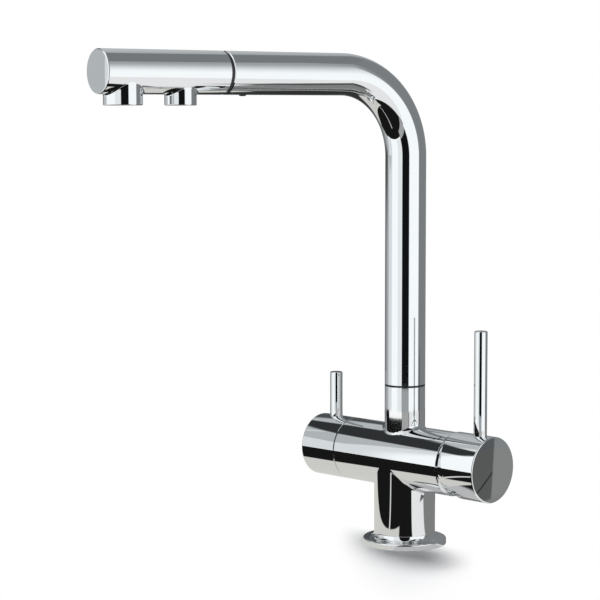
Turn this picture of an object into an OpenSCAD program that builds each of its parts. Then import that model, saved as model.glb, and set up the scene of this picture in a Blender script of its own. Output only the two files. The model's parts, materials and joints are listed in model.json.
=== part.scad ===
// Three way kitchen tap with a pull-out head: hot, cold and filtered water.
// Millimetres. Origin on the deck under the column, +Z up, +X along the barrel to the
// mixer lever, -Y to the front. The spout stands turned a little towards the filter lever.

/* [Spout tube] */
// Outer diameter of the spout tube
tube_d = 28; // [27:0.5:30]
// Wall of the spout tube
tube_wall = 1.2; // [1:0.1:1.4]
// Height of the arm's axis above the deck
arm_h = 323.7; // [290:0.1:360]
// Radius of the bend, at the tube's centreline
bend_r = 55; // [45:1:60]
// Distance from the riser's axis to the end of the fixed arm
arm_end = 148.4; // [140:0.1:165]
// Chamfer on the arm's end
arm_chamfer = 0.6; // [0.2:0.1:0.9]
// How far the spout stands turned towards the filter lever, in degrees
rest_turn = 10.1; // [0:0.1:30]

/* [Pull-out head] */
// Length of the head in front of the black collar
head_len = 89.6; // [84:0.1:100]
// Wall of the head at its front face
head_front_wall = 3; // [2:0.5:4]
// Wall of the head's shell
head_wall = 1.6; // [1.4:0.1:1.8]
// Rounding of the head's front edge
head_edge = 0.8; // [0.4:0.1:1]
// Distance from the front face to the main outlet's axis
main_set = 17.7; // [16:0.1:20]
// Distance between the two outlets
outlet_pitch = 41.8; // [38:0.1:46]
// Outer diameter of the main outlet
main_outlet_d = 24.6; // [23:0.2:25]
// Outer diameter of the filtered outlet
filter_outlet_d = 20.4; // [19:0.2:21]
// How far the outlets stand out below the head
outlet_drop = 6.8; // [5:0.1:9]
// Wall of an outlet's shroud
outlet_wall = 1.7; // [1.4:0.1:1.9]
// Rounding of an outlet's lower edge
outlet_edge = 0.7; // [0.3:0.1:0.8]
// Width of the black collar between arm and head
collar_w = 2.2; // [1.6:0.1:3]
// How far the collar lies below the tube's surface
collar_sink = 0.4; // [0.2:0.1:0.8]

/* [Body] */
// Diameter of the column
column_d = 42.4; // [41:0.2:43]
// Diameter of the barrel
barrel_d = 43.5; // [43.2:0.1:46]
// Height of the barrel's axis above the deck
barrel_h = 60.7; // [58:0.1:70]
// Distance from the column's axis to the barrel's end at the mixer side
barrel_right = 46.3; // [45.5:0.1:50]
// Distance from the column's axis to the barrel's end at the filter side
barrel_left = 47.6; // [46:0.1:52]
// Height of the neck's top, where the spout turns
neck_top = 110.4; // [108:0.1:120]
// Thickness of the black glide ring
glide_ring_h = 1; // [0.8:0.1:1.6]
// Diameter of the base flange
flange_d = 58; // [56:0.5:64]
// Height of the base flange
flange_h = 4.2; // [3.6:0.1:6]
// Rounding of the flange's top edge
flange_edge = 1; // [0.4:0.1:1.4]

/* [Mounting] */
// Outer diameter of the threaded shank
shank_d = 33; // [32.4:0.1:33.4]
// Wall of the shank
shank_wall = 2.2; // [1.6:0.1:2.3]
// How far the shank reaches below the deck
shank_drop = 58; // [54:1:80]
// Worktop thickness at which the clamp is drawn
deck_gap = 30; // [20:1:34]
// Diameter of the washers under the deck
washer_d = 54; // [50:1:58]
// Height of the mounting nut
nut_h = 8; // [6:0.5:10]
// Width over the corners of the mounting nut
nut_d = 52; // [48:1:56]

/* [Handles] */
// Diameter of the mixer handle's cap
mixer_cap_d = 44.6; // [44.4:0.1:45.4]
// Length of the mixer handle's cap, from the barrel's end to its face
mixer_cap_len = 32; // [31.7:0.1:35]
// Tilt of the cap's slanted inner edge, in degrees
cap_slant = 13.7; // [8:0.1:15]
// Distance from the mixer cap's face to the mixer lever
mixer_lever_set = 11; // [9.5:0.1:12.2]
// Height of the mixer lever's top above the deck
mixer_lever_top = 153.3; // [130:0.1:180]
// Length of the filter handle's cap
filter_cap_len = 31.2; // [29:0.1:36]
// Distance from the filter cap's face to the filter lever
filter_lever_set = 13.8; // [11.5:0.1:16]
// Height of the filter lever's top above the deck
filter_lever_top = 114; // [105:0.1:130]
// Diameter of the lever rods
lever_d = 8.9; // [8:0.1:10]
// Rounding of the caps' outer edges
cap_edge = 0.9; // [0.5:0.1:1.2]
// Gap between the barrel and the filter cap
cap_gap = 0.5; // [0.3:0.1:0.8]

/* [Mixer cartridge] */
// Diameter of the cartridge housing
cartridge_d = 35; // [34.6:0.1:35.2]
// Depth of the cartridge's chamber in the barrel
chamber_depth = 30.3; // [29.8:0.1:30.8]
// Distance from the barrel's end to the lever's pivot
pivot_set = 5.5; // [5.1:0.1:5.9]
// Wall of the mixer cap's rim, outside the fixed ball cover
skirt_wall = 0.75; // [0.6:0.05:0.9]
// Length of the stem's lower arm, from the pivot to the drive ball
drive_arm = 8; // [7.6:0.1:8.2]
// Diameter of the pivot pin
pin_d = 4; // [3.6:0.1:4.4]

/* [Water ways] */
// Diameter of the five threaded ports under the body
port_d = 7.8; // [7:0.1:8]
// Depth of the threaded ports
port_depth = 10; // [8:0.5:12]
// Diameter of the water ways
way_d = 4.8; // [4:0.1:5]
// Diameter of the filtered water ways
filter_way_d = 3.8; // [3:0.1:4]
// Outer diameter of the pull-out hose
hose_d = 11; // [10:0.1:11.2]
// Wall of the pull-out hose
hose_wall = 0.9; // [0.7:0.1:1.1]
// Outer diameter of the filtered water tube inside the hose
inner_tube_d = 5.2; // [4.6:0.1:5.6]
// Wall of the filtered water tube
inner_tube_wall = 0.8; // [0.6:0.1:1]

/* [Hidden] */
$fn = 72;
// Clearances: fixed fits, running fits, stacked parts, soft parts and the overrun of a cut
fit_gap = 0.03;
run_gap = 0.05;
seat_gap = 0.05;
soft_gap = 0.1;
over = 1;

tube_r = tube_d / 2;
tube_bore_r = tube_r - tube_wall;
column_r = column_d / 2;
barrel_r = barrel_d / 2;
flange_r = flange_d / 2;
shank_r = shank_d / 2;
shank_bore_r = shank_r - shank_wall;
lever_r = lever_d / 2;
hose_r = hose_d / 2;
hose_bore_r = hose_r - hose_wall;
inner_tube_r = inner_tube_d / 2;
inner_tube_bore_r = inner_tube_r - inner_tube_wall;
way_r = way_d / 2;
filter_way_r = filter_way_d / 2;
port_r = port_d / 2;

// Base: the column's spigot in the flange, and the seal under it
spigot_wall = 2.1;
spigot_r = shank_r + spigot_wall;
spigot_low = 0.5;
gasket_in_r = 23;
gasket_out_r = 26.4;
gasket_h = 1.6;
rubber_washer_h = 3;
steel_washer_h = 2;
shank_seat = 18;

// Swivel: the neck's socket, the bush in it, its seals and its stop
socket_r = 11;
socket_depth = 24;
socket_floor = neck_top - socket_depth;
bush_r = socket_r - run_gap;
bush_low = socket_floor + soft_gap;
tube_low = neck_top + glide_ring_h + seat_gap;
bush_plug_len = 17;
bush_play = 0.6;
bush_bore_r = hose_r + bush_play;
seal_w = 2;
seal_sink = 0.8;
seal_rise_shares = [0.16, 0.74];
stop_screw_r = 2;
stop_screw_rise = 10.5;
stop_screw_z = neck_top - stop_screw_rise;
stop_slot_depth = 2;
stop_screw_turn = 90;
stop_slot_margin = 1;
swing = 70;

// Hose: it stands behind the ports in the shank and runs up slanting to the neck
hose_back = shank_bore_r - hose_r - soft_gap;
hose_way_play = 0.4;
hose_way_r = hose_r + hose_way_play;
knee_drop = 6;
knee_z = shank_seat - knee_drop;
slant_h = socket_floor - knee_z;
slant_angle = atan(hose_back / slant_h);
slant_len = slant_h / cos(slant_angle) - hose_r * tan(slant_angle) - seat_gap;
knee_bulge = 0.05;
hose_hang = 8;
hose_low = -shank_drop - hose_hang;
ferrule_len = 12;
ferrule_wall = 0.6;
inner_lean = hose_bore_r - inner_tube_r - soft_gap;
bend_lead = 4;
hose_split = bend_r + bend_lead;

// Ports: hot, mixed outlet, cold, filtered inlet and filtered outlet, on one circle
port_circle = shank_bore_r - port_r - soft_gap;
port_step = 53;
port_turn = [2 * port_step, port_step, 0, -port_step, -2 * port_step];
// Heights of the ways at the chambers, as shares of the barrel's radius
way_rise_shares = [-0.138, -0.368, 0.069, -0.069, 0.184];

// Mixer cartridge: thicknesses and widths of its pieces
port_seal_h = 0.9;
port_seal_w = 1.4;
port_seal_play = 0.2;
base_h = 3;
fixed_disc_h = 4;
moving_disc_h = 4;
driver_h = 3;
driver_inset = 0.5;
carrier_play = 0.3;
carrier_h = 8.5;
housing_roof = 4.1;
housing_wall = 2.5;
disc_play = 0.5;
moving_disc_r = 10.5;
disc_offset = 1.7;
carrier_neck_r = 10.9;
carrier_neck_reach = 4.7;
slot_half_w = 4.6;
slot_half_h = 8;
nut_thread = 1.9;
nut_play = 1.3;
nut_nose_set = 2.8;
nut_nose_len = 3.7;
ball_wall = 1.2;
ball_opening_r = 16;
socket_gap = 0.35;
pin_short = 0.9;
eye_r = 4.5;
stem_r = 4;
stem_cover = 1.3;
lower_arm_r = 1.5;
drive_ball_r = 2.4;
fork_gap = 0.15;
fork_half_h = 4.2;
fork_side_play = 0.2;
fork_rise = 1.6;
fork_floor = 0.9;
hub_r = 7.5;
hub_set = 10.2;
cap_cut_set = 0.6;

// Mixer cartridge: places, from the chamber's floor outwards
chamber_floor = barrel_right - chamber_depth;
pivot_x = barrel_right + pivot_set;
mixer_face = barrel_right + mixer_cap_len;
mixer_lever_x = mixer_face - mixer_lever_set;
chamber_r = cartridge_d / 2 + fit_gap;
base_low = chamber_floor + port_seal_h;
disc_low = base_low + base_h;
disc_top = disc_low + fixed_disc_h;
moving_top = disc_top + moving_disc_h;
driver_top = moving_top + driver_h;
carrier_low = driver_top + carrier_play;
carrier_top = carrier_low + carrier_h;
housing_top = carrier_top + housing_roof;
housing_bore_r = cartridge_d / 2 - housing_wall;
fixed_disc_r = housing_bore_r - disc_play;
carrier_r = housing_bore_r - soft_gap;
carrier_neck_top = pivot_x + carrier_neck_reach;
mouth_r = cartridge_d / 2 + nut_thread;
nut_low = housing_top + seat_gap;
nut_bore_r = carrier_neck_r + nut_play;
mixer_cap_r = mixer_cap_d / 2;
ball_r = mixer_cap_r - skirt_wall - socket_gap;
nut_nose_r = ball_r - nut_nose_set;
nut_top = barrel_right + nut_nose_len;
pin_r = pin_d / 2;
pin_half = carrier_neck_r - pin_short;
eye_half = slot_half_w - soft_gap;
stem_end = mixer_face - stem_cover;
fork_half_w = slot_half_w - fork_side_play;
fork_top = pivot_x - drive_arm + fork_rise;
fork_depth = drive_ball_r + fork_floor;
hub_low = pivot_x + hub_set;
cap_socket_r = ball_r + socket_gap;
cap_cut_x = pivot_x + cap_cut_set;

// Lever rods and set screws
spigot_pin_r = 3;
spigot_pin_len = 3.6;
lever_edge = 0.8;
lever_seat_gap = 0.02;
grub_r = 1.5;
grub_sink = 1;
mixer_grub_set = 2.9;
mixer_grub_x = mixer_face - mixer_grub_set;

// Filter valve, from the chamber's floor outwards
valve_depth = 27.6;
valve_r = 11;
valve_seal_h = 1;
valve_base_h = 2;
valve_disc_h = 3;
valve_bore_r = 8.7;
valve_bore_play = 0.6;
valve_flange_h = 3.4;
valve_flange_r = 14;
spindle_r = 4;
spindle_short = 7;
spindle_seal_set = 6;
spindle_seal_sink = 0.9;
cap_wall = 3.2;
cap_cavity_h = 10;
valve_floor = barrel_left - valve_depth;
valve_seal_top = valve_floor + valve_seal_h;
valve_base_top = valve_seal_top + valve_base_h;
seat_disc_top = valve_base_top + valve_disc_h;
turn_disc_top = seat_disc_top + valve_disc_h;
spindle_plate_top = turn_disc_top + valve_disc_h;
valve_bore_top = spindle_plate_top + valve_bore_play;
valve_flange_top = barrel_left + valve_flange_h;
filter_cap_low = barrel_left + cap_gap;
filter_face = filter_cap_low + filter_cap_len;
filter_lever_x = filter_face - filter_lever_set;
spindle_top = filter_face - spindle_short;
spindle_seal_low = valve_flange_top - spindle_seal_set;
cap_cavity_r = barrel_r - cap_wall;
cap_cavity_top = filter_cap_low + cap_cavity_h;
filter_grub_x = filter_lever_x;

// Docking of the head: sleeve, tail, seal, screw and hose nut, measured along the arm
sleeve_len = 30;
sleeve_bore_r = 10.9;
tail_len = 24;
tail_seal_set = 12;
dock_screw_set = 14.4;
dock_screw_r = 1.5;
dock_head_r = 2.35;
dock_head_h = 0.8;
hose_nut_len = 12;
hose_nut_r = 8.5;
hose_nut_lip = 1;
sleeve_low = arm_end - sleeve_len;
sleeve_r = tube_bore_r - fit_gap;
collar_top = arm_end + collar_w;
collar_r = tube_r - collar_sink;
tail_low = arm_end - tail_len;
tail_r = sleeve_bore_r - run_gap;
tail_seal_low = arm_end - tail_seal_set;
dock_screw_s = arm_end - dock_screw_set;
hose_nut_low = tail_low - hose_nut_len;
hose_end = tail_low - hose_nut_lip;

// Head: shell, waterway and outlets
head_gap = 0.15;
front_gap = 0.2;
aerator_sink = 0.7;
aerator_h = 9;
aerator_wall = 1.8;
aerator_set = 0.6;
insert_h = 6;
washer_h = 1.6;
spray_hole_r = 1.1;
spray_ring_share = 0.62;
spray_holes = 8;
pocket_top = -9;
main_way_lift = 6;
main_way_r = 3.2;
filter_way_lift = -1;
valve_set = 2;
valve_len = 10;
valve_wall = 1;
head_low = collar_top + head_gap;
head_top = head_low + head_len;
head_bore_r = tube_r - head_wall;
head_bore_top = head_top - head_front_wall;
insert_r = head_bore_r - fit_gap;
insert_top = head_bore_top - front_gap;
main_s = head_top - main_set;
filter_s = main_s - outlet_pitch;
main_outlet_r = main_outlet_d / 2;
filter_outlet_r = filter_outlet_d / 2;
outlet_low = -tube_r - outlet_drop;
main_bore_r = main_outlet_r - outlet_wall;
filter_bore_r = filter_outlet_r - outlet_wall;
aerator_low = outlet_low + aerator_sink;
valve_low = tail_low + valve_set;

// A cylinder from height a to height b
module rod(a, b, r) { translate([0, 0, a]) cylinder(r = r, h = b - a); }

// A tube from height a to height b
module pipe(a, b, r, bore) {
    difference() {
        rod(a, b, r);
        rod(a - over, b + over, bore);
    }
}

// A cylinder from a to b whose edge at b is rounded
module round_rod(a, b, r, edge) {
    rotate_extrude() {
        translate([0, a]) square([r, b - edge - a]);
        translate([0, a]) square([r - edge, b - a]);
        translate([r - edge, b - edge]) intersection() {
            circle(r = edge);
            square(edge);
        }
    }
}

// Frames: along the barrel to +X, along it to -X, the turned spout, and its arm
module to_mixer() { translate([0, 0, barrel_h]) rotate([0, 90, 0]) children(); }
module to_filter() { translate([0, 0, barrel_h]) rotate([0, -90, 0]) children(); }
module spout_frame() { rotate([0, 0, -rest_turn]) children(); }
module arm_frame() { spout_frame() translate([0, 0, arm_h]) rotate([90, 0, 0]) children(); }
// A vertical outlet's frame, at distance s along the arm, with heights counted from the arm's axis
module outlet_frame(s) { spout_frame() translate([0, -s, arm_h]) children(); }
module pivot_frame() { translate([pivot_x, 0, barrel_h]) children(); }

// Place of port number i
function port_at(i) = [port_circle * sin(port_turn[i]), -port_circle * cos(port_turn[i])];
// Height of way number i where it enters its chamber
function way_z(i) = barrel_h + way_rise_shares[i] * barrel_r;

// A port under the body, with its way up and across to the chamber at x
module port_way(i, r, x) {
    p = port_at(i);
    translate([p[0], p[1], 0]) {
        rod(shank_seat - over, shank_seat + port_depth, port_r);
        rod(shank_seat, way_z(i), r);
    }
    translate([p[0], p[1], way_z(i)]) sphere(r = r);
    translate([0, p[1], way_z(i)]) rotate([0, 90, 0]) rod(min(p[0], x), max(p[0], x), r);
}

// Holes through the valve pieces, in line with the ways numbered from first to last
module way_holes(first, last, low, high, r) {
    side = low > 0 ? 1 : -1;
    for (i = [first:last])
        translate([0, port_at(i)[1], way_z(i)]) rotate([0, 90, 0]) rod(low - over, high + over, r);
}

// Fixed parts of the body

module body_casting() color("gainsboro") difference() {
    union() {
        rod(flange_h, barrel_h, column_r);
        rod(spigot_low, barrel_h, spigot_r);
        to_mixer() rod(-barrel_left, barrel_right, barrel_r);
        rod(barrel_h, neck_top, tube_r);
    }
    rod(socket_floor, neck_top + over, socket_r);
    translate([0, hose_back, knee_z]) rotate([slant_angle, 0, 0])
        rod(0, slant_h / cos(slant_angle) + over, hose_way_r);
    rod(spigot_low - over, shank_seat, shank_r + fit_gap);
    for (i = [0:2]) port_way(i, way_r, chamber_floor + over);
    for (i = [3:4]) port_way(i, filter_way_r, -valve_floor - over);
    to_mixer() rod(chamber_floor, barrel_right + over, chamber_r);
    to_mixer() rod(housing_top, barrel_right + over, mouth_r);
    to_filter() rod(valve_floor, barrel_left + over, valve_r);
    translate([0, 0, stop_screw_z]) rotate([-90, 0, 0]) rod(0, tube_r + over, stop_screw_r + fit_gap);
}

module base_flange() color("silver") difference() {
    round_rod(0, flange_h, flange_r, flange_edge);
    rod(-over, flange_h + over, spigot_r + fit_gap);
    pipe(-over, gasket_h + seat_gap, gasket_out_r + soft_gap, gasket_in_r - soft_gap);
}

module base_gasket() color("dimgray") pipe(0, gasket_h, gasket_out_r, gasket_in_r);

module threaded_shank() color("darkkhaki") pipe(-shank_drop, shank_seat - seat_gap, shank_r, shank_bore_r);

module rubber_washer() color("black")
    pipe(-deck_gap - rubber_washer_h, -deck_gap, washer_d / 2, shank_r + soft_gap);

module steel_washer() color("lightgray")
    pipe(-deck_gap - rubber_washer_h - steel_washer_h, -deck_gap - rubber_washer_h,
        washer_d / 2, shank_r + soft_gap);

module mounting_nut() color("darkkhaki") {
    top = -deck_gap - rubber_washer_h - steel_washer_h;
    difference() {
        translate([0, 0, top - nut_h]) cylinder(r = nut_d / 2, h = nut_h, $fn = 6);
        rod(top - nut_h - over, top + over, shank_r + fit_gap);
    }
}

module swivel_glide_ring() color("black")
    pipe(neck_top, neck_top + glide_ring_h, tube_r, socket_r + soft_gap);

module spout_stop_screw() color("dimgray")
    translate([0, 0, stop_screw_z]) rotate([-90, 0, 0])
        rod(bush_r - stop_slot_depth + soft_gap, tube_r - seal_sink, stop_screw_r);

// Mixer cartridge

module cartridge_base() color("whitesmoke") difference() {
    to_mixer() rod(base_low, disc_low, cartridge_d / 2);
    way_holes(0, 2, base_low, disc_low, way_r);
}

module cartridge_base_seals() color("black")
    for (i = [0:2])
        translate([0, port_at(i)[1], way_z(i)]) rotate([0, 90, 0])
            pipe(chamber_floor, base_low, way_r + port_seal_play + port_seal_w, way_r + port_seal_play);

module cartridge_housing() color("whitesmoke") to_mixer() difference() {
    rod(disc_low, housing_top, cartridge_d / 2);
    rod(disc_low - over, carrier_top + run_gap, housing_bore_r);
    rod(disc_low - over, housing_top + over, carrier_neck_r + run_gap);
}

module cartridge_fixed_disc() color("ivory") difference() {
    to_mixer() rod(disc_low, disc_top, fixed_disc_r);
    way_holes(0, 2, disc_low, disc_top, way_r);
}

module cartridge_nut() color("darkkhaki") to_mixer() difference() {
    union() {
        rod(nut_low, barrel_right - seat_gap, mouth_r - fit_gap);
        rod(nut_low, nut_top, nut_nose_r);
    }
    rod(nut_low - over, nut_top + over, nut_bore_r);
}

module ball_cover() color("silver") difference() {
    union() {
        difference() {
            pivot_frame() sphere(r = ball_r);
            pivot_frame() sphere(r = ball_r - ball_wall);
        }
        to_mixer() rod(barrel_right, nut_top, ball_r - ball_wall);
    }
    to_mixer() rod(0, barrel_right, ball_r + over);
    to_mixer() rod(0, nut_top + over, nut_nose_r + fit_gap);
    to_mixer() rod(pivot_x, mixer_face, ball_opening_r);
}

// Filter valve

module filter_valve_seal() color("black") difference() {
    to_filter() rod(valve_floor, valve_seal_top, valve_r - soft_gap);
    way_holes(3, 4, -valve_seal_top, -valve_floor, filter_way_r);
}

module filter_valve_housing() color("khaki") difference() {
    to_filter() union() {
        rod(valve_seal_top, barrel_left, valve_r - fit_gap);
        rod(barrel_left, valve_flange_top, valve_flange_r);
    }
    way_holes(3, 4, -valve_base_top, -valve_seal_top, filter_way_r);
    to_filter() rod(valve_base_top, valve_bore_top, valve_bore_r);
    to_filter() rod(valve_base_top, valve_flange_top + over, spindle_r + run_gap);
}

module filter_seat_disc() color("ivory") difference() {
    to_filter() rod(valve_base_top, seat_disc_top, valve_bore_r - fit_gap);
    way_holes(3, 4, -seat_disc_top, -valve_base_top, filter_way_r);
}

// Pull-out hose with the filtered water tube inside it

// The stretch in the shank and body: straight up, over the knee and slanting to the neck
module knee_run(r, longer) {
    translate([0, hose_back, 0]) {
        rod(hose_low - longer, knee_z, r);
        translate([0, 0, knee_z]) {
            sphere(r = r + knee_bulge);
            rotate([slant_angle, 0, 0]) rod(0, slant_len + longer, r);
        }
    }
}

module hose_base() color("gray") difference() {
    knee_run(hose_r, 0);
    knee_run(hose_bore_r, over);
}

module filtered_tube_base() color("lightskyblue") translate([0, inner_lean, 0]) difference() {
    knee_run(inner_tube_r, 0);
    knee_run(inner_tube_bore_r, over);
}

module hose_end_ferrule() color("darkkhaki") translate([0, hose_back, 0]) {
    pipe(hose_low - ferrule_len, hose_low, hose_r + ferrule_wall, inner_tube_r);
}

// A bent tube in the spout: riser from height low, bend, and arm to distance far
module bent_run(r, bore, low, far, lean) {
    turn_r = bend_r + lean;
    translate([0, lean, 0]) pipe(low, arm_h - bend_r, r, bore);
    translate([0, -bend_r, arm_h - bend_r]) rotate([90, 0, 90]) rotate_extrude(angle = 90)
        translate([turn_r, 0]) difference() {
            circle(r = r);
            circle(r = bore);
        }
    translate([0, 0, arm_h + lean]) rotate([90, 0, 0]) pipe(bend_r, far, r, bore);
}

module hose_riser() color("gray") spout_frame()
    bent_run(hose_r, hose_bore_r, bush_low + soft_gap, hose_split - soft_gap, 0);

module filtered_tube_riser() color("lightskyblue") spout_frame()
    bent_run(inner_tube_r, inner_tube_bore_r, bush_low + soft_gap, hose_split - soft_gap, inner_lean);

module hose_arm() color("gray") arm_frame() pipe(hose_split, hose_end, hose_r, hose_bore_r);

module filtered_tube_arm() color("lightskyblue") arm_frame() translate([0, inner_lean, 0])
    pipe(hose_split, hose_end, inner_tube_r, inner_tube_bore_r);

// Spout

module spout_tube() color("silver") difference() {
    spout_frame() bent_run(tube_r, tube_bore_r, tube_low, arm_end, 0);
    arm_frame() rotate_extrude() polygon([[tube_r + over, arm_end + over],
        [tube_r - arm_chamfer - over, arm_end + over], [tube_r + over, arm_end - arm_chamfer - over]]);
    arm_frame() translate([0, 0, dock_screw_s]) rotate([90, 0, 0]) rod(0, tube_r + over, dock_screw_r + fit_gap);
}

module swivel_bush() color("khaki") spout_frame() difference() {
    union() {
        rod(bush_low, tube_low, bush_r);
        rod(tube_low, tube_low + bush_plug_len, tube_bore_r - fit_gap);
    }
    rod(bush_low - over, tube_low + bush_plug_len + over, bush_bore_r);
    for (share = seal_rise_shares)
        translate([0, 0, bush_low + share * socket_depth])
            pipe(0, seal_w + soft_gap, bush_r + over, bush_r - seal_sink);
    stop_slot();
}

// The slot that lets the spout swing between its stops
module stop_slot() {
    half_w = stop_screw_r + soft_gap;
    margin = asin(half_w / (bush_r - stop_slot_depth)) + stop_slot_margin;
    start = stop_screw_turn - swing - margin;
    translate([0, 0, stop_screw_z - half_w]) rotate([0, 0, start])
        rotate_extrude(angle = 2 * (swing + margin))
            translate([bush_r - stop_slot_depth, 0]) square([stop_slot_depth + over, 2 * half_w]);
}

module swivel_seals() color("black") spout_frame()
    for (share = seal_rise_shares)
        translate([0, 0, bush_low + share * socket_depth + soft_gap / 2])
            pipe(0, seal_w, socket_r - run_gap, bush_r - seal_sink);

module docking_sleeve() color("black") difference() {
    arm_frame() union() {
        rod(sleeve_low, arm_end, sleeve_r);
        rod(arm_end, collar_top, collar_r);
    }
    arm_frame() rod(sleeve_low - over, collar_top + over, sleeve_bore_r);
    arm_frame() translate([0, 0, dock_screw_s]) rotate([90, 0, 0]) rod(0, tube_r, dock_screw_r + fit_gap);
}

module docking_screw() color("black") difference() {
    arm_frame() translate([0, 0, dock_screw_s]) rotate([90, 0, 0]) union() {
        rod(sleeve_bore_r + soft_gap, tube_r, dock_screw_r);
        rod(tube_bore_r, tube_r + dock_head_h, dock_head_r);
    }
    arm_frame() difference() {
        rod(dock_screw_s - tube_r, dock_screw_s + tube_r, tube_r);
        translate([0, 0, dock_screw_s]) rotate([90, 0, 0]) rod(0, tube_r, dock_screw_r);
    }
}

// Pull-out head

module outlet_shroud(s, r) {
    outlet_frame(s) rotate([180, 0, 0]) round_rod(0, -outlet_low, r, outlet_edge);
}

module head_shell() color("silver") difference() {
    union() {
        arm_frame() round_rod(head_low, head_top, tube_r, head_edge);
        outlet_shroud(main_s, main_outlet_r);
        outlet_shroud(filter_s, filter_outlet_r);
    }
    arm_frame() rod(head_low - over, head_bore_top, head_bore_r);
    outlet_frame(main_s) rod(outlet_low - over, 0, main_bore_r);
    outlet_frame(filter_s) rod(outlet_low - over, 0, filter_bore_r);
}

module head_waterway() color("darkgray") difference() {
    arm_frame() union() {
        rod(head_low, insert_top, insert_r);
        rod(tail_low, head_low + over, tail_r);
    }
    arm_frame() translate([0, main_way_lift, 0]) rod(tail_low - over, main_s, main_way_r);
    arm_frame() translate([0, filter_way_lift, 0]) rod(tail_low - over, filter_s, filter_way_r);
    outlet_frame(main_s) rod(outlet_low, pocket_top, main_bore_r + fit_gap);
    outlet_frame(main_s) rod(pocket_top - over, main_way_lift, main_way_r);
    outlet_frame(filter_s) rod(outlet_low, pocket_top, filter_bore_r + fit_gap);
    outlet_frame(filter_s) rod(pocket_top - over, filter_way_lift, filter_way_r);
    arm_frame() translate([0, 0, tail_seal_low]) pipe(0, seal_w + soft_gap, tail_r + over, tail_r - seal_sink);
}

module head_tail_seal() color("black") arm_frame()
    pipe(tail_seal_low + soft_gap / 2, tail_seal_low + seal_w + soft_gap / 2, tail_r,
        tail_r - seal_sink + fit_gap);

module hose_nut() color("khaki") arm_frame() difference() {
    rod(hose_nut_low, tail_low, hose_nut_r);
    rod(hose_nut_low - over, hose_end, hose_r + fit_gap);
    rod(hose_end - over, tail_low + over, hose_nut_r - hose_nut_lip);
}

module check_valve() color("whitesmoke") arm_frame() translate([0, main_way_lift, 0])
    pipe(valve_low, valve_low + valve_len, main_way_r - fit_gap, main_way_r - valve_wall);

// An aerator's threaded housing, its perforated insert and its washer
module aerator_housing(s, bore) {
    outlet_frame(s) pipe(aerator_low, aerator_low + aerator_h, bore - fit_gap, bore - aerator_wall);
}

module aerator_insert(s, bore) {
    r = bore - aerator_wall - fit_gap;
    low = aerator_low + aerator_set;
    outlet_frame(s) difference() {
        rod(low, low + insert_h, r);
        rod(low - over, low + insert_h + over, spray_hole_r);
        for (k = [1:spray_holes]) rotate([0, 0, k * 360 / spray_holes]) translate([r * spray_ring_share, 0, 0])
            rod(low - over, low + insert_h + over, spray_hole_r);
    }
}

module aerator_washer(s, bore) {
    low = aerator_low + aerator_h + seat_gap;
    outlet_frame(s) pipe(low, low + washer_h, bore - soft_gap, bore / 2);
}

module main_aerator_housing() color("dimgray") aerator_housing(main_s, main_bore_r);
module main_aerator_insert() color("gray") aerator_insert(main_s, main_bore_r);
module main_aerator_washer() color("black") aerator_washer(main_s, main_bore_r);
module filter_aerator_housing() color("dimgray") aerator_housing(filter_s, filter_bore_r);
module filter_aerator_insert() color("gray") aerator_insert(filter_s, filter_bore_r);
module filter_aerator_washer() color("black") aerator_washer(filter_s, filter_bore_r);

// Moving parts of the mixer

module box(x0, x1, half_y, z0, z1) {
    translate([x0, -half_y, z0]) cube([x1 - x0, 2 * half_y, z1 - z0]);
}

module cartridge_carrier() color("gainsboro") difference() {
    to_mixer() union() {
        rod(carrier_low, carrier_top, carrier_r);
        rod(carrier_top, carrier_neck_top, carrier_neck_r);
    }
    translate([0, 0, barrel_h])
        box(carrier_low - over, carrier_neck_top + over, slot_half_w, -slot_half_h, slot_half_h);
    to_mixer() pipe(carrier_top + over, carrier_top + over + seal_w + soft_gap,
        carrier_neck_r + over, carrier_neck_r - seal_sink);
    pivot_frame() rotate([90, 0, 0]) rod(-carrier_neck_r - over, carrier_neck_r + over, pin_r + fit_gap);
}

module carrier_seal() color("black") to_mixer()
    pipe(carrier_top + over + soft_gap / 2, carrier_top + over + soft_gap / 2 + seal_w,
        carrier_neck_r, carrier_neck_r - seal_sink);

module tilt_pin() color("lightgray") pivot_frame() rotate([90, 0, 0]) rod(-pin_half, pin_half, pin_r);

module disc_driver() color("silver") difference() {
    union() {
        translate([0, 0, -disc_offset]) to_mixer() rod(moving_top, driver_top, moving_disc_r - driver_inset);
        translate([0, 0, barrel_h])
            box(driver_top - over, fork_top, fork_half_w, -fork_half_h, fork_half_h);
    }
    translate([0, 0, barrel_h]) box(pivot_x - drive_arm - fork_depth, fork_top + over,
        fork_half_w + over, -drive_ball_r - fork_gap, drive_ball_r + fork_gap);
}

module cartridge_moving_disc() color("ivory") translate([0, 0, -disc_offset]) to_mixer() difference() {
    rod(disc_top + run_gap, moving_top, moving_disc_r);
    rod(disc_top, disc_top + 2 * over, moving_disc_r / 2);
}

module mixer_stem() color("lightgray") pivot_frame() difference() {
    union() {
        rotate([90, 0, 0]) rod(-eye_half, eye_half, eye_r);
        rotate([0, 90, 0]) rod(0, stem_end - pivot_x, stem_r);
        rotate([0, -90, 0]) rod(0, drive_arm, lower_arm_r);
        translate([-drive_arm, 0, 0]) sphere(r = drive_ball_r);
    }
    rotate([90, 0, 0]) rod(-eye_half - over, eye_half + over, pin_r + run_gap);
}

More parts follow.
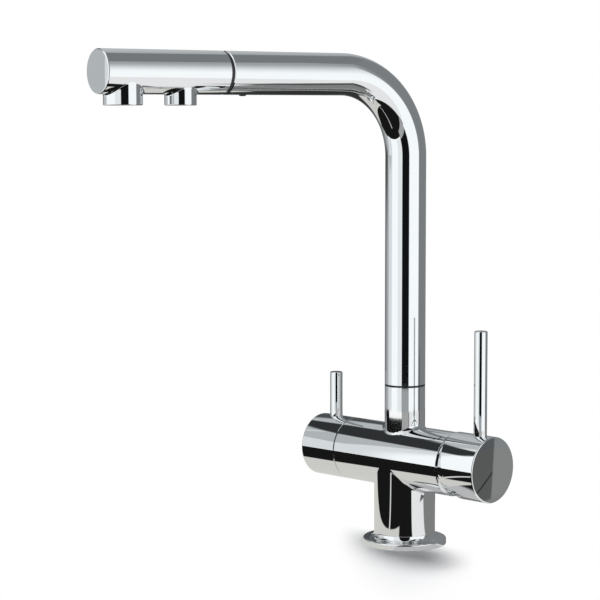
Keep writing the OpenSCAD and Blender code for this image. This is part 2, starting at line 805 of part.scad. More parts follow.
module mixer_cap() color("silver") difference() {
    to_mixer() round_rod(barrel_right, mixer_face, mixer_cap_r, cap_edge);
    difference() {
        union() {
            pivot_frame() sphere(r = cap_socket_r);
            to_mixer() rod(barrel_right - over, pivot_x, cap_socket_r);
        }
        to_mixer() rod(hub_low, mixer_face, hub_r);
    }
    to_mixer() rod(pivot_x, stem_end + seat_gap, stem_r + fit_gap);
    translate([cap_cut_x, 0, barrel_h]) rotate([0, -cap_slant, 0])
        box(-mixer_cap_d, 0, mixer_cap_d, -mixer_cap_d, mixer_cap_d);
    lever_socket(mixer_lever_x, mixer_cap_r);
    translate([mixer_grub_x, 0, barrel_h]) rod(-mixer_cap_r - over, 0, grub_r + fit_gap);
}

// A lever rod on a cap of radius r at place x, with a spigot into the cap
module lever(x, r, top) {
    translate([x, 0, 0]) difference() {
        round_rod(barrel_h + r - lever_r, top, lever_r, lever_edge);
        to_mixer() rod(-tube_r, tube_r, r + lever_seat_gap);
    }
    translate([x, 0, barrel_h]) rod(r - spigot_pin_len, r + lever_r, spigot_pin_r);
}

module lever_socket(x, r) {
    translate([x, 0, barrel_h]) rod(r - spigot_pin_len - seat_gap, r + over, spigot_pin_r + fit_gap);
}

module mixer_lever() color("silver") lever(mixer_lever_x, mixer_cap_r, mixer_lever_top);

module mixer_grub_screw() color("dimgray") translate([mixer_grub_x, 0, barrel_h])
    rod(-mixer_cap_r + grub_sink, -stem_r, grub_r);

// Moving parts of the filter tap

module filter_spindle() color("khaki") to_filter() difference() {
    union() {
        rod(turn_disc_top, spindle_plate_top, valve_bore_r - run_gap);
        rod(turn_disc_top, spindle_top, spindle_r);
    }
    translate([0, 0, spindle_seal_low])
        pipe(0, seal_w + soft_gap, spindle_r + over, spindle_r - spindle_seal_sink);
}

module filter_turning_disc() color("ivory") to_filter() difference() {
    rod(seat_disc_top + run_gap, turn_disc_top, valve_bore_r - run_gap);
    rotate_extrude(angle = 90)
        translate([spindle_r, seat_disc_top]) square([filter_way_d, turn_disc_top - seat_disc_top - over]);
}

module filter_spindle_seal() color("black") to_filter()
    pipe(spindle_seal_low + soft_gap / 2, spindle_seal_low + soft_gap / 2 + seal_w,
        spindle_r, spindle_r - spindle_seal_sink);

module filter_cap() color("silver") difference() {
    to_filter() round_rod(filter_cap_low, filter_face, barrel_r, cap_edge);
    to_filter() rod(filter_cap_low - over, cap_cavity_top, cap_cavity_r);
    to_filter() rod(filter_cap_low, spindle_top + seat_gap, spindle_r + fit_gap);
    lever_socket(-filter_lever_x, barrel_r);
    translate([-filter_grub_x, 0, barrel_h]) rod(-barrel_r - over, 0, grub_r + fit_gap);
}

module filter_lever() color("silver") lever(-filter_lever_x, barrel_r, filter_lever_top);

module filter_grub_screw() color("dimgray") translate([-filter_grub_x, 0, barrel_h])
    rod(-barrel_r + grub_sink, -spindle_r, grub_r);

body_casting();
base_flange();
base_gasket();
threaded_shank();
rubber_washer();
steel_washer();
mounting_nut();
swivel_glide_ring();
spout_stop_screw();
cartridge_base();
cartridge_base_seals();
cartridge_housing();
cartridge_fixed_disc();
cartridge_nut();
ball_cover();
filter_valve_housing();
filter_valve_seal();
filter_seat_disc();
hose_base();
filtered_tube_base();
hose_end_ferrule();
spout_tube();
swivel_bush();
swivel_seals();
docking_sleeve();
docking_screw();
hose_riser();
filtered_tube_riser();
head_shell();
head_waterway();
head_tail_seal();
hose_nut();
check_valve();
main_aerator_housing();
main_aerator_insert();
main_aerator_washer();
filter_aerator_housing();
filter_aerator_insert();
filter_aerator_washer();
hose_arm();
filtered_tube_arm();
cartridge_carrier();
carrier_seal();
tilt_pin();
disc_driver();
cartridge_moving_disc();
mixer_stem();
mixer_cap();
mixer_lever();
mixer_grub_screw();
filter_spindle();
filter_turning_disc();
filter_spindle_seal();
filter_cap();
filter_lever();
filter_grub_screw();
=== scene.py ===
"""Looks of a three way filtered water kitchen tap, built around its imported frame.

The origin is on the worktop under the column, +Z is up, +X runs along the barrel to the mixer
lever and -Y is the front. The spout stands turned a little towards the filter lever. Sizes of
the tap's pieces are in millimetres, and those of the studio in metres.
"""

from __future__ import annotations

import json
import logging
import math
from collections.abc import Callable
from dataclasses import dataclass
from enum import Enum

import bpy
import numpy as np
from mathutils import Matrix, Vector


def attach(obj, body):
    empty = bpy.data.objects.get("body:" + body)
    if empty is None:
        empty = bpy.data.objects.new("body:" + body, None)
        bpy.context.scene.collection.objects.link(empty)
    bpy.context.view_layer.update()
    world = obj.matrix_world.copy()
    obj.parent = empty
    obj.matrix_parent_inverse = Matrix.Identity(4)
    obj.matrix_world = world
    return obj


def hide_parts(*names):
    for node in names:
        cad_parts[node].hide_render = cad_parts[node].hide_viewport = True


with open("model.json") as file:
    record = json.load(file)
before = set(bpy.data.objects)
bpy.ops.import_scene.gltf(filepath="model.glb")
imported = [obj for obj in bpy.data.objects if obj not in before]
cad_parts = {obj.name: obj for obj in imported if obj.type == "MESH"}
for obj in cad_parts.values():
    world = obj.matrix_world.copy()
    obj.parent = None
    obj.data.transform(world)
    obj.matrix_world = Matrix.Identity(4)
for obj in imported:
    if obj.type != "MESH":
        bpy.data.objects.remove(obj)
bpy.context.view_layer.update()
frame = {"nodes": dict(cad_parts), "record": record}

LOG = logging.getLogger("tap")
MM = 0.001

Triple = tuple[float, float, float]
Colour = tuple[float, float, float, float]
Outline = list[tuple[float, float]]
Piece = bpy.types.Object


class Body(Enum):
    """The rigid bodies of the frame that pieces ride on."""

    TAP = "tap_body"
    SPOUT = "spout"
    HEAD = "head"
    MIXER = "mixer_handle"
    FILTER = "filter_handle"


class Slot(Enum):
    """The record's material slots."""

    CHROME = "chrome"
    BRASS = "brass"
    STEEL = "steel"
    BLACK_RUBBER = "black_rubber"
    BLACK_PLASTIC = "black_plastic"
    GREY_PLASTIC = "grey_plastic"
    WHITE_PLASTIC = "white_plastic"
    BUSH_PLASTIC = "bush_plastic"
    CERAMIC = "ceramic"
    HOSE_BRAID = "hose_braid"
    FILTER_TUBE = "filter_tube"


class Pick(Enum):
    """What a selection by place picks."""

    EDGE = "EDGE"
    FACE = "FACE"


# ---------------------------------------------------------------- shader maths


class Value:
    """A socket that holds a number and takes part in arithmetic."""

    def __init__(self, graph: Graph, socket: bpy.types.NodeSocket) -> None:
        """Keeps the socket and the graph that it belongs to."""
        self.graph = graph
        self.socket = socket

    def __add__(self, other: Value | float) -> Value:
        """Adds."""
        return self.graph.math("ADD", self, other)

    __radd__ = __add__

    def __sub__(self, other: Value | float) -> Value:
        """Subtracts the other value."""
        return self.graph.math("SUBTRACT", self, other)

    def __rsub__(self, other: float) -> Value:
        """Subtracts this value from a number."""
        return self.graph.math("SUBTRACT", other, self)

    def __mul__(self, other: Value | float) -> Value:
        """Multiplies."""
        return self.graph.math("MULTIPLY", self, other)

    __rmul__ = __mul__

    def __pow__(self, other: float) -> Value:
        """Raises to a power."""
        return self.graph.math("POWER", self, other)

    def between(self, low: float, high: float, soft: float) -> Value:
        """Returns 1 inside a range and 0 outside it, with edges soft wide."""
        return self.rise(low, soft) * (1 - self.rise(high, soft))

    def rise(self, at: float, soft: float) -> Value:
        """Returns a smooth step from 0 to 1 around a place, soft wide."""
        inputs = {"Value": self, "From Min": at - soft / 2, "From Max": at + soft / 2}
        return self.graph.node("ShaderNodeMapRange", {"interpolation_type": "SMOOTHSTEP"}, inputs)

    def toward(self, goal: Value | float, mask: Value | float) -> Value:
        """Returns this value moved towards a goal where the mask is 1."""
        return self + (goal - self) * mask


class Graph:
    """The node tree of a material or a world that is being written."""

    MIX_MASK, MIX_FIRST, MIX_SECOND, MIX_RESULT = 0, 6, 7, 2

    def __init__(self, owner: bpy.types.Material | bpy.types.World) -> None:
        """Turns the owner's nodes on and empties its tree.

        Args:
            owner: The material or world.
        """
        owner.use_nodes = True
        self.tree = owner.node_tree
        self.tree.nodes.clear()

    def node(
        self,
        kind: str,
        settings: dict[str, object] | None = None,
        inputs: dict[str | int, object] | None = None,
        output: str | int = 0,
    ) -> Value:
        """Adds one node.

        Args:
            kind: The node's type.
            settings: Its properties, set before the sockets are filled.
            inputs: Numbers, colours or links by socket name or index.
            output: The output to return.

        Returns:
            The chosen output as a value.
        """
        made = self.tree.nodes.new(kind)
        for name, setting in (settings or {}).items():
            setattr(made, name, setting)
        for name, given in (inputs or {}).items():
            if isinstance(given, Value):
                self.tree.links.new(given.socket, made.inputs[name])
            else:
                made.inputs[name].default_value = given
        return Value(self, made.outputs[output])

    def math(self, operation: str, *terms: Value | float) -> Value:
        """Returns the result of one Math node."""
        return self.node("ShaderNodeMath", {"operation": operation}, dict(enumerate(terms)))

    def mix(self, mask: Value, first: Value | Colour, second: Colour) -> Value:
        """Returns a colour between two, the second where the mask is 1."""
        inputs = {self.MIX_MASK: mask, self.MIX_FIRST: first, self.MIX_SECOND: second}
        return self.node("ShaderNodeMix", {"data_type": "RGBA"}, inputs, self.MIX_RESULT)

    def blend(self, mask: Value, first: Value, second: Value) -> Value:
        """Returns a shader between two, the second where the mask is 1."""
        return self.node("ShaderNodeMixShader", None, {0: mask, 1: first, 2: second})

    def emit(self, colour: Value | Colour, strength: Value | float) -> Value:
        """Returns a shader that shines."""
        return self.node("ShaderNodeEmission", None, {"Color": colour, "Strength": strength})

    def ray(self, kind: str) -> Value:
        """Returns 1 for rays of a kind."""
        return self.node("ShaderNodeLightPath", output=f"Is {kind} Ray")

    def scale(self, vector: Value, factors: Triple) -> Value:
        """Returns a vector multiplied part by part."""
        return self.node("ShaderNodeVectorMath", {"operation": "MULTIPLY"}, {0: vector, 1: factors})

    def constant(self, number: float) -> Value:
        """Makes a node that holds a number.

        Args:
            number: The number.

        Returns:
            The number as a value.
        """
        made = self.node("ShaderNodeValue")
        made.socket.default_value = number
        return made

    def axes(self, vector: Value) -> tuple[Value, ...]:
        """Returns a vector's three parts."""
        made = self.node("ShaderNodeSeparateXYZ", None, {0: vector})
        return tuple(Value(self, part) for part in made.socket.node.outputs)

    def object_place(self) -> Value:
        """Returns the piece's own coordinates."""
        return self.node("ShaderNodeTexCoord", output="Object")

    def noise(self, cells: float, detail: float, place: Value | None = None) -> Value:
        """Returns noise from 0 to 1, with so many cells to a metre."""
        inputs = {"Vector": place or self.object_place(), "Scale": cells, "Detail": detail}
        return self.node("ShaderNodeTexNoise", None, inputs)

    def bump(self, height: Value, strength: float, depth: float) -> Value:
        """Returns a normal that follows a height."""
        inputs = {"Height": height, "Strength": strength, "Distance": depth}
        return self.node("ShaderNodeBump", None, inputs)

    def end(self, kind: str, surface: Value) -> None:
        """Adds the output node and links the surface to it."""
        self.tree.links.new(surface.socket, self.tree.nodes.new(kind).inputs["Surface"])


def grey(level: float) -> Colour:
    """Returns a grey colour."""
    return (level, level, level, 1.0)


WHITE = grey(1.0)


# ---------------------------------------------------------------- studio


@dataclass(frozen=True)
class Sight:
    """Where the photographer's camera stands, in metres and degrees, and its lens."""

    place: Triple = (0.88726, -1.00403, 0.29718)
    turn: float = 44.5725
    drop: float = 5.4395
    roll: float = -0.1006
    lens: float = 116.944
    sensor: float = 36.0
    nearest: float = 0.05

    def around(self, x: Value, y: Value) -> tuple[Value, Value]:
        """Returns how far a place lies before the tap's axis and to its right."""
        turn = math.radians(self.turn)
        return x * math.sin(turn) - y * math.cos(turn), x * math.cos(turn) + y * math.sin(turn)


@dataclass(frozen=True)
class Lamp:
    """A soft round lamp: its bearing and rise in degrees, reach and size in metres, watts."""

    name: str
    bearing: float
    rise: float
    reach: float
    size: float
    power: float


@dataclass(frozen=True)
class Patch:
    """A patch of tone in the studio as the metal sees it.

    Bearings are in degrees from the camera's side, positive to its right. Near and far are
    heights on the tent or distances on the table, in metres.
    """

    tone: float
    low: float
    high: float
    soft: float
    near: float = -math.inf
    far: float = math.inf
    fade: float = 0.02

    def lay(self, tone: Value, bearing: Value, reach: Value) -> Value:
        """Lays the patch over a tone.

        Args:
            tone: The tone so far.
            bearing: The place's bearing.
            reach: The place's height or distance.

        Returns:
            The tone with the patch.
        """
        mask = bearing.between(self.low, self.high, self.soft)
        if self.near > -math.inf:
            mask = mask * reach.rise(self.near, self.fade)
        if self.far < math.inf:
            mask = mask * (1 - reach.rise(self.far, self.fade))
        return tone.toward(self.tone, mask)


# Bearings past all others: a patch that starts or ends there runs on round the back.
LEFT, RIGHT = -300.0, 300.0

TENT_PATCHES = (
    Patch(0.70, LEFT, -100, 8),
    Patch(0.30, LEFT, -143, 74, far=0.2, fade=0.1),
    Patch(0.30, LEFT, -124, 16, near=0.2, far=0.46, fade=0.1),
    Patch(0.66, 160, RIGHT, 14, near=0.3, fade=0.1),
    Patch(0.97, -103, -20, 6),
    Patch(0.89, -46, -20, 4),
    Patch(0.84, -110, -85, 5),
    Patch(0.69, -108, -90.7, 0.6, near=0.24, far=0.5),
    Patch(0.20, -145, -84, 5, near=0.52, far=0.86, fade=0.06),
    Patch(0.97, 17, 76, 4),
    Patch(0.60, 17, 84, 4, near=0.6, fade=0.65),
    Patch(0.46, 55, 155, 8, near=1.0, fade=0.04),
    Patch(0.10, -21.5, 16.5, 2.5),
    Patch(0.60, -21.5, 16.5, 2.5, far=0.0245, fade=0.003),
)
TABLE_PATCHES = (
    Patch(0.88, 21, 80, 2),
    Patch(0.48, 68, 84, 2, far=0.28),
    Patch(0.20, 150, RIGHT, 6, near=0.15, fade=0.04),
    Patch(0.20, LEFT, -160, 6, near=0.15, fade=0.04),
    Patch(0.11, -160, 21, 2),
    Patch(0.80, -57, -52.5, 1.2, far=0.33),
    Patch(0.97, -103, -20, 3, near=0.58, fade=0.01),
    Patch(0.62, -20, 19, 3, near=0.45, fade=0.02),
    Patch(0.70, LEFT, 64, 3, far=0.055, fade=0.012),
)


@dataclass
class Studio:
    """Camera, floor, lamps and the light tent that the metal reflects.

    Tones are shares of white as the metal shows them. The runner is a pale strip across the
    table. The face is what the mixer cap's end reflects, two tones split upright with a thin
    line across the darker one. The shade tells where the floor turns to plain white.
    """

    sight: Sight = Sight()
    lamps: tuple[Lamp, ...] = (
        Lamp("key", bearing=148, rise=69, reach=1.4, size=0.8, power=21.2),
        Lamp("fill", bearing=24, rise=12, reach=1.6, size=1.2, power=14),
    )
    sky: Colour = (0.098, 0.106, 0.118, 1)
    room: float = 0.5
    base_tone: float = 0.48
    gamma: float = 2.2
    glow: float = 1.14
    floor_half: float = 6.0
    floor_tone: float = 0.9
    lift: float = 0.01
    tent_r: float = 0.62
    tent_h: float = 1.9
    tent_low: float = 0.001
    tent_sides: int = 96
    tent_dark: Colour = (0.915, 0.995, 1.045, 1.0)
    tent_light: Colour = (0.965, 0.99, 1.0, 1.0)
    runner_tone: float = 0.78
    runner_tint: Colour = (1.0, 0.985, 0.94, 1.0)
    runner_skew: float = 0.15
    runner_front: float = -0.081
    runner_front_soft: float = 0.004
    runner_back: float = 0.13
    runner_back_soft: float = 0.01
    runner_right: float = -20.0
    runner_right_soft: float = 4.0
    face_x: float = 0.0783
    face_dark: float = 0.34
    face_light: float = 0.5
    face_reach: float = 0.085
    face_soft: float = 0.004
    face_start: float = 0.18
    face_start_soft: float = 0.01
    face_split_soft: float = 0.001
    face_top: float = 0.06
    face_top_soft: float = 0.02
    line_turn: float = 28.25
    line_at: float = 0.1275
    line_width: float = 0.0022
    line_tone: float = 0.03
    shade_near: float = 0.05
    shade_far: float = 0.21
    shade_narrow: float = 4.3

    def build(self) -> None:
        """Makes everything in the studio."""
        self._camera()
        self._world()
        self._floor()
        self._tent()
        for lamp in self.lamps:
            self._hang(lamp)
        bpy.context.scene.view_settings.view_transform = "Standard"
        LOG.info("studio is set")

    def _camera(self) -> None:
        """Puts the camera where the photograph was taken from."""
        sight = self.sight
        turn, drop, roll = (math.radians(v) for v in (sight.turn, sight.drop, sight.roll))
        out = math.cos(drop)
        back = Vector((math.sin(turn) * out, -math.cos(turn) * out, math.sin(drop)))
        level = Vector((math.cos(turn), math.sin(turn), 0))
        rise = back.cross(level)
        right = math.cos(roll) * level + math.sin(roll) * rise
        up = -math.sin(roll) * level + math.cos(roll) * rise
        data = bpy.data.cameras.new("camera")
        data.sensor_width = sight.sensor
        data.lens = sight.lens
        data.clip_start = sight.nearest
        camera = bpy.data.objects.new("camera", data)
        axes = Matrix((right, up, back)).transposed().to_4x4()
        camera.matrix_world = Matrix.Translation(Vector(sight.place)) @ axes
        bpy.context.scene.collection.objects.link(camera)
        bpy.context.scene.camera = camera

    def _world(self) -> None:
        """White to the camera, a cool even sky to matt surfaces, a grey room to metal."""
        world = bpy.data.worlds.new("room")
        bpy.context.scene.world = world
        graph = Graph(world)
        colour = graph.mix(graph.ray("Glossy"), self.sky, grey(self.room))
        colour = graph.mix(graph.ray("Camera"), colour, WHITE)
        lit = graph.node("ShaderNodeBackground", None, {"Color": colour, "Strength": 1.0})
        graph.end("ShaderNodeOutputWorld", lit)

    @staticmethod
    def _coat(thing: Piece, name: str) -> Graph:
        """Gives a part of the stage a new material and returns the material's graph."""
        thing.data.materials.append(bpy.data.materials.new(name))
        return Graph(thing.data.materials[0])

    def _places(self, graph: Graph) -> tuple[Value, Value, Value, Value, Value]:
        """Reads where a point of the studio lies around the tap.

        Args:
            graph: The material's graph.

        Returns:
            The bearing in degrees, the distance from the tap's axis, x, y and the height.
        """
        x, y, z = graph.axes(graph.object_place())
        front, side = self.sight.around(x, y)
        bearing = graph.math("ARCTAN2", side, front) * math.degrees(1)
        return bearing, graph.math("SQRT", front * front + side * side), x, y, z

    def _lay(self, patches: tuple[Patch, ...], bearing: Value, reach: Value) -> Value:
        """Lays patches over the studio's base tone.

        Args:
            patches: The patches, the last one on top.
            bearing: The place's bearing.
            reach: The place's height or distance.

        Returns:
            The tone.
        """
        tone = bearing.graph.constant(self.base_tone)
        for patch in patches:
            tone = patch.lay(tone, bearing, reach)
        return tone

    def _floor(self) -> None:
        """Makes the pale floor, which shows as a studio table in the metal."""
        bpy.ops.mesh.primitive_plane_add(size=2 * self.floor_half)
        floor = bpy.context.object
        floor.name = "floor"
        graph = self._coat(floor, "floor")
        bearing, reach, x, y, _ = self._places(graph)
        runner = self._runner(bearing, x, y)
        tone = self._lay(TABLE_PATCHES, bearing, reach).toward(self.runner_tone, runner)
        shine = self._split(tone, x, y) ** self.gamma * self.glow
        table = graph.emit(graph.mix(runner, WHITE, self.runner_tint), shine)
        seen = graph.ray("Camera")
        matt = graph.node("ShaderNodeBsdfDiffuse", None, {"Color": grey(self.floor_tone)})
        lift = graph.emit(WHITE, seen * self.lift)
        pale = graph.node("ShaderNodeAddShader", None, {0: matt, 1: lift})
        pale = graph.blend(seen * self._fade(x, y), pale, graph.emit(WHITE, 1.0))
        top = graph.blend(graph.ray("Glossy"), pale, table)
        below = graph.node("ShaderNodeNewGeometry", output="Backfacing")
        clear = graph.node("ShaderNodeBsdfTransparent")
        graph.end("ShaderNodeOutputMaterial", graph.blend(below, top, clear))

    def _runner(self, bearing: Value, x: Value, y: Value) -> Value:
        """Returns the pale runner's mask.

        Args:
            bearing: The place's bearing.
            x: The place along the barrel.
            y: The place from front to back.

        Returns:
            1 on the runner.
        """
        front = (y + x * self.runner_skew).rise(self.runner_front, self.runner_front_soft)
        back = 1 - y.rise(self.runner_back, self.runner_back_soft)
        return front * back * (1 - bearing.rise(self.runner_right, self.runner_right_soft))

    def _fade(self, x: Value, y: Value) -> Value:
        """Says how far the floor has turned to plain white, later in front than aside.

        Args:
            x: The place along the barrel.
            y: The place from front to back.

        Returns:
            0 at the tap, 1 far off.
        """
        front, side = self.sight.around(x, y)
        side = side * self.shade_narrow
        away = x.graph.math("SQRT", front * front + side * side)
        middle = (self.shade_near + self.shade_far) / 2
        return away.rise(middle, self.shade_far - self.shade_near)

    def _split(self, tone: Value, x: Value, y: Value) -> Value:
        """Lays what the mixer cap's face reflects: dark on its left, with a thin line.

        Args:
            tone: The tone so far.
            x: The place along the barrel.
            y: The place from front to back.

        Returns:
            The tone with the face's tones.
        """
        away = self.sight.place[0] - self.face_x
        side = (x - self.face_x) * -self.sight.place[1] - y * away
        shown = side.between(-self.face_reach, self.face_reach, self.face_soft)
        shown = shown * x.rise(self.face_start, self.face_start_soft)
        dark = shown * side.rise(0, self.face_split_soft)
        tone = tone.toward(self.face_light, shown).toward(self.face_dark, dark)
        turn, half = math.radians(self.line_turn), self.line_width / 2
        line = x * math.cos(turn) - y * math.sin(turn)
        line = line.between(self.line_at - half, self.line_at + half, half)
        return tone.toward(self.line_tone, dark * line)

    def _tent(self) -> None:
        """Makes the light tent, which only reflections see."""
        deselect()
        bpy.ops.mesh.primitive_cylinder_add(
            vertices=self.tent_sides,
            radius=self.tent_r,
            depth=self.tent_h,
            location=(0, 0, self.tent_h / 2 + self.tent_low),
        )
        tent = bpy.context.object
        tent.name = "light_tent"
        settle(tent)
        choose(tent, Pick.FACE, lambda middle, normal: normal.z < -0.5)
        edit(tent)
        bpy.ops.mesh.delete(type="FACE")
        leave()
        graph = self._coat(tent, "tent")
        bearing, _, x, y, height = self._places(graph)
        tone = self._lay(TENT_PATCHES, bearing, height)
        foot = 1 - height.rise(self.face_top, self.face_top_soft)
        tone = tone.toward(self._split(tone, x, y), foot)
        tint = graph.mix(tone, self.tent_dark, self.tent_light)
        cloth = graph.emit(tint, tone**self.gamma * self.glow)
        graph.end("ShaderNodeOutputMaterial", cloth)
        for sense in ("camera", "diffuse", "shadow", "transmission", "volume_scatter"):
            setattr(tent, f"visible_{sense}", False)

    def _hang(self, given: Lamp) -> None:
        """Hangs one soft lamp, which metal doesn't show.

        Args:
            given: The lamp's place, size and power.
        """
        data = bpy.data.lights.new(given.name, "AREA")
        data.shape = "DISK"
        data.size = given.size
        data.energy = given.power
        lamp = bpy.data.objects.new(given.name, data)
        rise, turn = math.radians(given.rise), math.radians(self.sight.turn + given.bearing)
        across = Vector((math.sin(turn), -math.cos(turn), 0))
        lamp.location = (across * math.cos(rise) + Vector((0, 0, math.sin(rise)))) * given.reach
        lamp.rotation_euler = (-lamp.location).to_track_quat("-Z", "Y").to_euler()
        lamp.visible_glossy = False
        bpy.context.scene.collection.objects.link(lamp)


# ---------------------------------------------------------------- finishes


class Finish:
    """A material that is written once and shared."""

    name: str
    slot: Slot

    def make(self) -> bpy.types.Material:
        """Writes the material on first use.

        Returns:
            The material.
        """
        material = bpy.data.materials.get(self.name)
        if material is None:
            material = bpy.data.materials.new(self.name)
            graph = Graph(material)
            shader = graph.node("ShaderNodeBsdfPrincipled", None, self.sockets(graph))
            graph.end("ShaderNodeOutputMaterial", shader)
        return material

    def sockets(self, graph: Graph) -> dict[str, object]:
        """Returns what feeds the shader's sockets, by name."""
        raise NotImplementedError


@dataclass(frozen=True)
class Chrome(Finish):
    """Mirror-bright chrome plate with the faint haze that handling leaves."""

    name: str = "chrome_plate"
    slot: Slot = Slot.CHROME
    clean: Colour = (0.9, 0.91, 0.915, 1)
    hazy: Colour = (0.86, 0.875, 0.885, 1)
    roughness: float = 0.018
    haze_roughness: float = 0.03
    haze_cells: float = 45
    wave_cells: float = 30
    wave_depth: float = 0.0006

    def sockets(self, graph: Graph) -> dict[str, object]:
        """Feeds a bright metal with a little haze and a barely wavy skin.

        Args:
            graph: The material's graph.

        Returns:
            What feeds the shader's sockets, by name.
        """
        haze = graph.noise(self.haze_cells, 3)
        return {
            "Metallic": 1.0,
            "Base Color": graph.mix(haze, self.hazy, self.clean),
            "Roughness": self.roughness + haze * self.haze_roughness,
            "Normal": graph.bump(graph.noise(self.wave_cells, 1), 0.05, self.wave_depth),
        }


@dataclass(frozen=True)
class Mottled(Finish):
    """A finish whose tone wanders between a light and a dark one."""

    name: str
    slot: Slot
    light: Colour
    dark: Colour
    roughness: float


@dataclass(frozen=True)
class Metal(Mottled):
    """Turned metal: fine rings round the piece and a mottled tone."""

    stain_cells: float = 60
    stain_roughness: float = 0.12
    mark_cells: float = 900
    mark_stretch: Triple = (0.2, 0.2, 6.0)
    mark_depth: float = 0.0001

    def sockets(self, graph: Graph) -> dict[str, object]:
        """Feeds the metal's tone, its tool marks and its stains.

        Args:
            graph: The material's graph.

        Returns:
            What feeds the shader's sockets, by name.
        """
        stain = graph.noise(self.stain_cells, 4)
        stretched = graph.scale(graph.object_place(), self.mark_stretch)
        marks = graph.noise(self.mark_cells, 2, stretched)
        return {
            "Metallic": 1.0,
            "Base Color": graph.mix(stain, self.dark, self.light),
            "Roughness": self.roughness + stain * self.stain_roughness,
            "Normal": graph.bump(marks, 0.2, self.mark_depth),
        }


@dataclass(frozen=True)
class Moulded(Mottled):
    """Moulded plastic, rubber or ceramic with a fine grain."""

    mottle_cells: float = 90
    mottle_roughness: float = 0.08
    grain_cells: float = 2500
    grain_depth: float = 0.00004

    def sockets(self, graph: Graph) -> dict[str, object]:
        """Feeds the tone, a slight mottle and the mould's grain.

        Args:
            graph: The material's graph.

        Returns:
            What feeds the shader's sockets, by name.
        """
        mottle = graph.noise(self.mottle_cells, 3)
        return {
            "Base Color": graph.mix(mottle, self.dark, self.light),
            "Roughness": self.roughness + mottle * self.mottle_roughness,
            "Normal": graph.bump(graph.noise(self.grain_cells, 2), 0.25, self.grain_depth),
        }


@dataclass(frozen=True)
class Braid(Finish):
    """Nylon braid over a rubber hose: two sets of strands that cross over and under.

    An unrolled braid follows the piece's UV, and another one lies square to the axes. Its
    tone runs from light on each strand's crest to dark at its edges, which is painted shade
    in the creases between the strands.
    """

    name: str = "nylon_braid"
    slot: Slot = Slot.HOSE_BRAID
    unrolled: bool = False
    strands: float = 16.0
    pitch: float = 0.0042
    cell: float = 0.0022
    light: Colour = (0.44, 0.45, 0.47, 1)
    # Painted shade: the tone at the strands' edges, in the creases of the weave.
    dark: Colour = (0.07, 0.072, 0.075, 1)
    roughness: float = 0.42
    thread_cells: float = 1800
    thread_share: float = 0.25
    depth: float = 0.0003

    def sockets(self, graph: Graph) -> dict[str, object]:
        """Feeds crossing strands, their threads and painted shade between the strands.

        Args:
            graph: The material's graph.

        Returns:
            What feeds the shader's sockets, by name.
        """
        full = 2 * math.pi
        if self.unrolled:
            u, v, _ = graph.axes(graph.node("ShaderNodeTexCoord", output="UV"))
            across, along = u * (self.strands / 2 * full), v * (full / self.pitch)
        else:
            x, y, z = graph.axes(graph.object_place())
            turns = full / self.cell / 2
            across, along = (x - y) * turns, (x + y + z) * turns
        left = graph.math("SINE", (across + along) * 0.5)
        right = graph.math("SINE", (across - along) * 0.5)
        crossing = graph.math("SINE", across) * graph.math("SINE", along)
        over = graph.math("GREATER_THAN", crossing, 0.0)
        weave = graph.math("ABSOLUTE", left) * over + graph.math("ABSOLUTE", right) * (1 - over)
        thread = graph.noise(self.thread_cells, 2) * self.thread_share
        return {
            # Painted shade: the colour darkens with the weave's height into the creases between
            # strands.
            "Base Color": graph.mix(weave - thread, self.dark, self.light),
            "Roughness": self.roughness + thread,
            "Normal": graph.bump(weave, 0.8, self.depth),
        }


CHROME = Chrome()
BRASS = Metal("turned_brass", Slot.BRASS, (0.80, 0.63, 0.32, 1), (0.66, 0.48, 0.22, 1), 0.24)
STEEL = Metal("stainless_steel", Slot.STEEL, (0.68, 0.69, 0.70, 1), (0.55, 0.56, 0.57, 1), 0.26)
RUBBER = Moulded(
    "black_rubber", Slot.BLACK_RUBBER, (0.035, 0.035, 0.036, 1), (0.018, 0.018, 0.019, 1), 0.62
)
BLACK = Moulded(
    "black_acetal", Slot.BLACK_PLASTIC, (0.022, 0.022, 0.023, 1), (0.012, 0.012, 0.013, 1), 0.3
)
GREY = Moulded(
    "grey_acetal", Slot.GREY_PLASTIC, (0.34, 0.35, 0.36, 1), (0.26, 0.27, 0.28, 1), 0.4
)
PALE = Moulded(
    "white_acetal", Slot.WHITE_PLASTIC, (0.86, 0.86, 0.84, 1), (0.78, 0.78, 0.76, 1), 0.35
)
BUSH = Moulded(
    "bush_acetal", Slot.BUSH_PLASTIC, (0.80, 0.77, 0.68, 1), (0.70, 0.67, 0.58, 1), 0.4
)
CERAMIC = Moulded(
    "lapped_ceramic", Slot.CERAMIC, (0.92, 0.90, 0.85, 1), (0.86, 0.84, 0.78, 1), 0.15
)
TUBING = Moulded(
    "filter_tube", Slot.FILTER_TUBE, (0.55, 0.70, 0.84, 1), (0.46, 0.62, 0.78, 1), 0.3
)
BRAID = Braid("nylon_braid_unrolled", unrolled=True)
CAD_FINISHES: dict[str, Finish] = {
    look.slot.value: look
    for look in (CHROME, BRASS, STEEL, RUBBER, BLACK, GREY, PALE, BUSH, CERAMIC, TUBING, Braid())
}


# ---------------------------------------------------------------- modelling


@dataclass(frozen=True)
class Sizes:
    """Sizes in millimetres that several sub-assemblies share."""

    tube_r: float = 14.0
    arm_h: float = 323.7
    rest_turn: float = 10.1
    barrel_r: float = 21.75
    barrel_h: float = 60.7
    barrel_right: float = 46.3
    neck_top: float = 110.4
    ring_h: float = 1.0


TAP = Sizes()

# In metres: how close two points have to be to merge, and how exact a cut is.
MERGE = 1e-6
EXACT = 1e-7


def deselect() -> None:
    """Deselects every object."""
    if bpy.context.object and bpy.context.object.mode != "OBJECT":
        leave()
    bpy.ops.object.select_all(action="DESELECT")


def activate(piece: Piece) -> None:
    """Makes one object the only selected and the active one.

    Args:
        piece: The object.
    """
    deselect()
    piece.select_set(True)
    bpy.context.view_layer.objects.active = piece


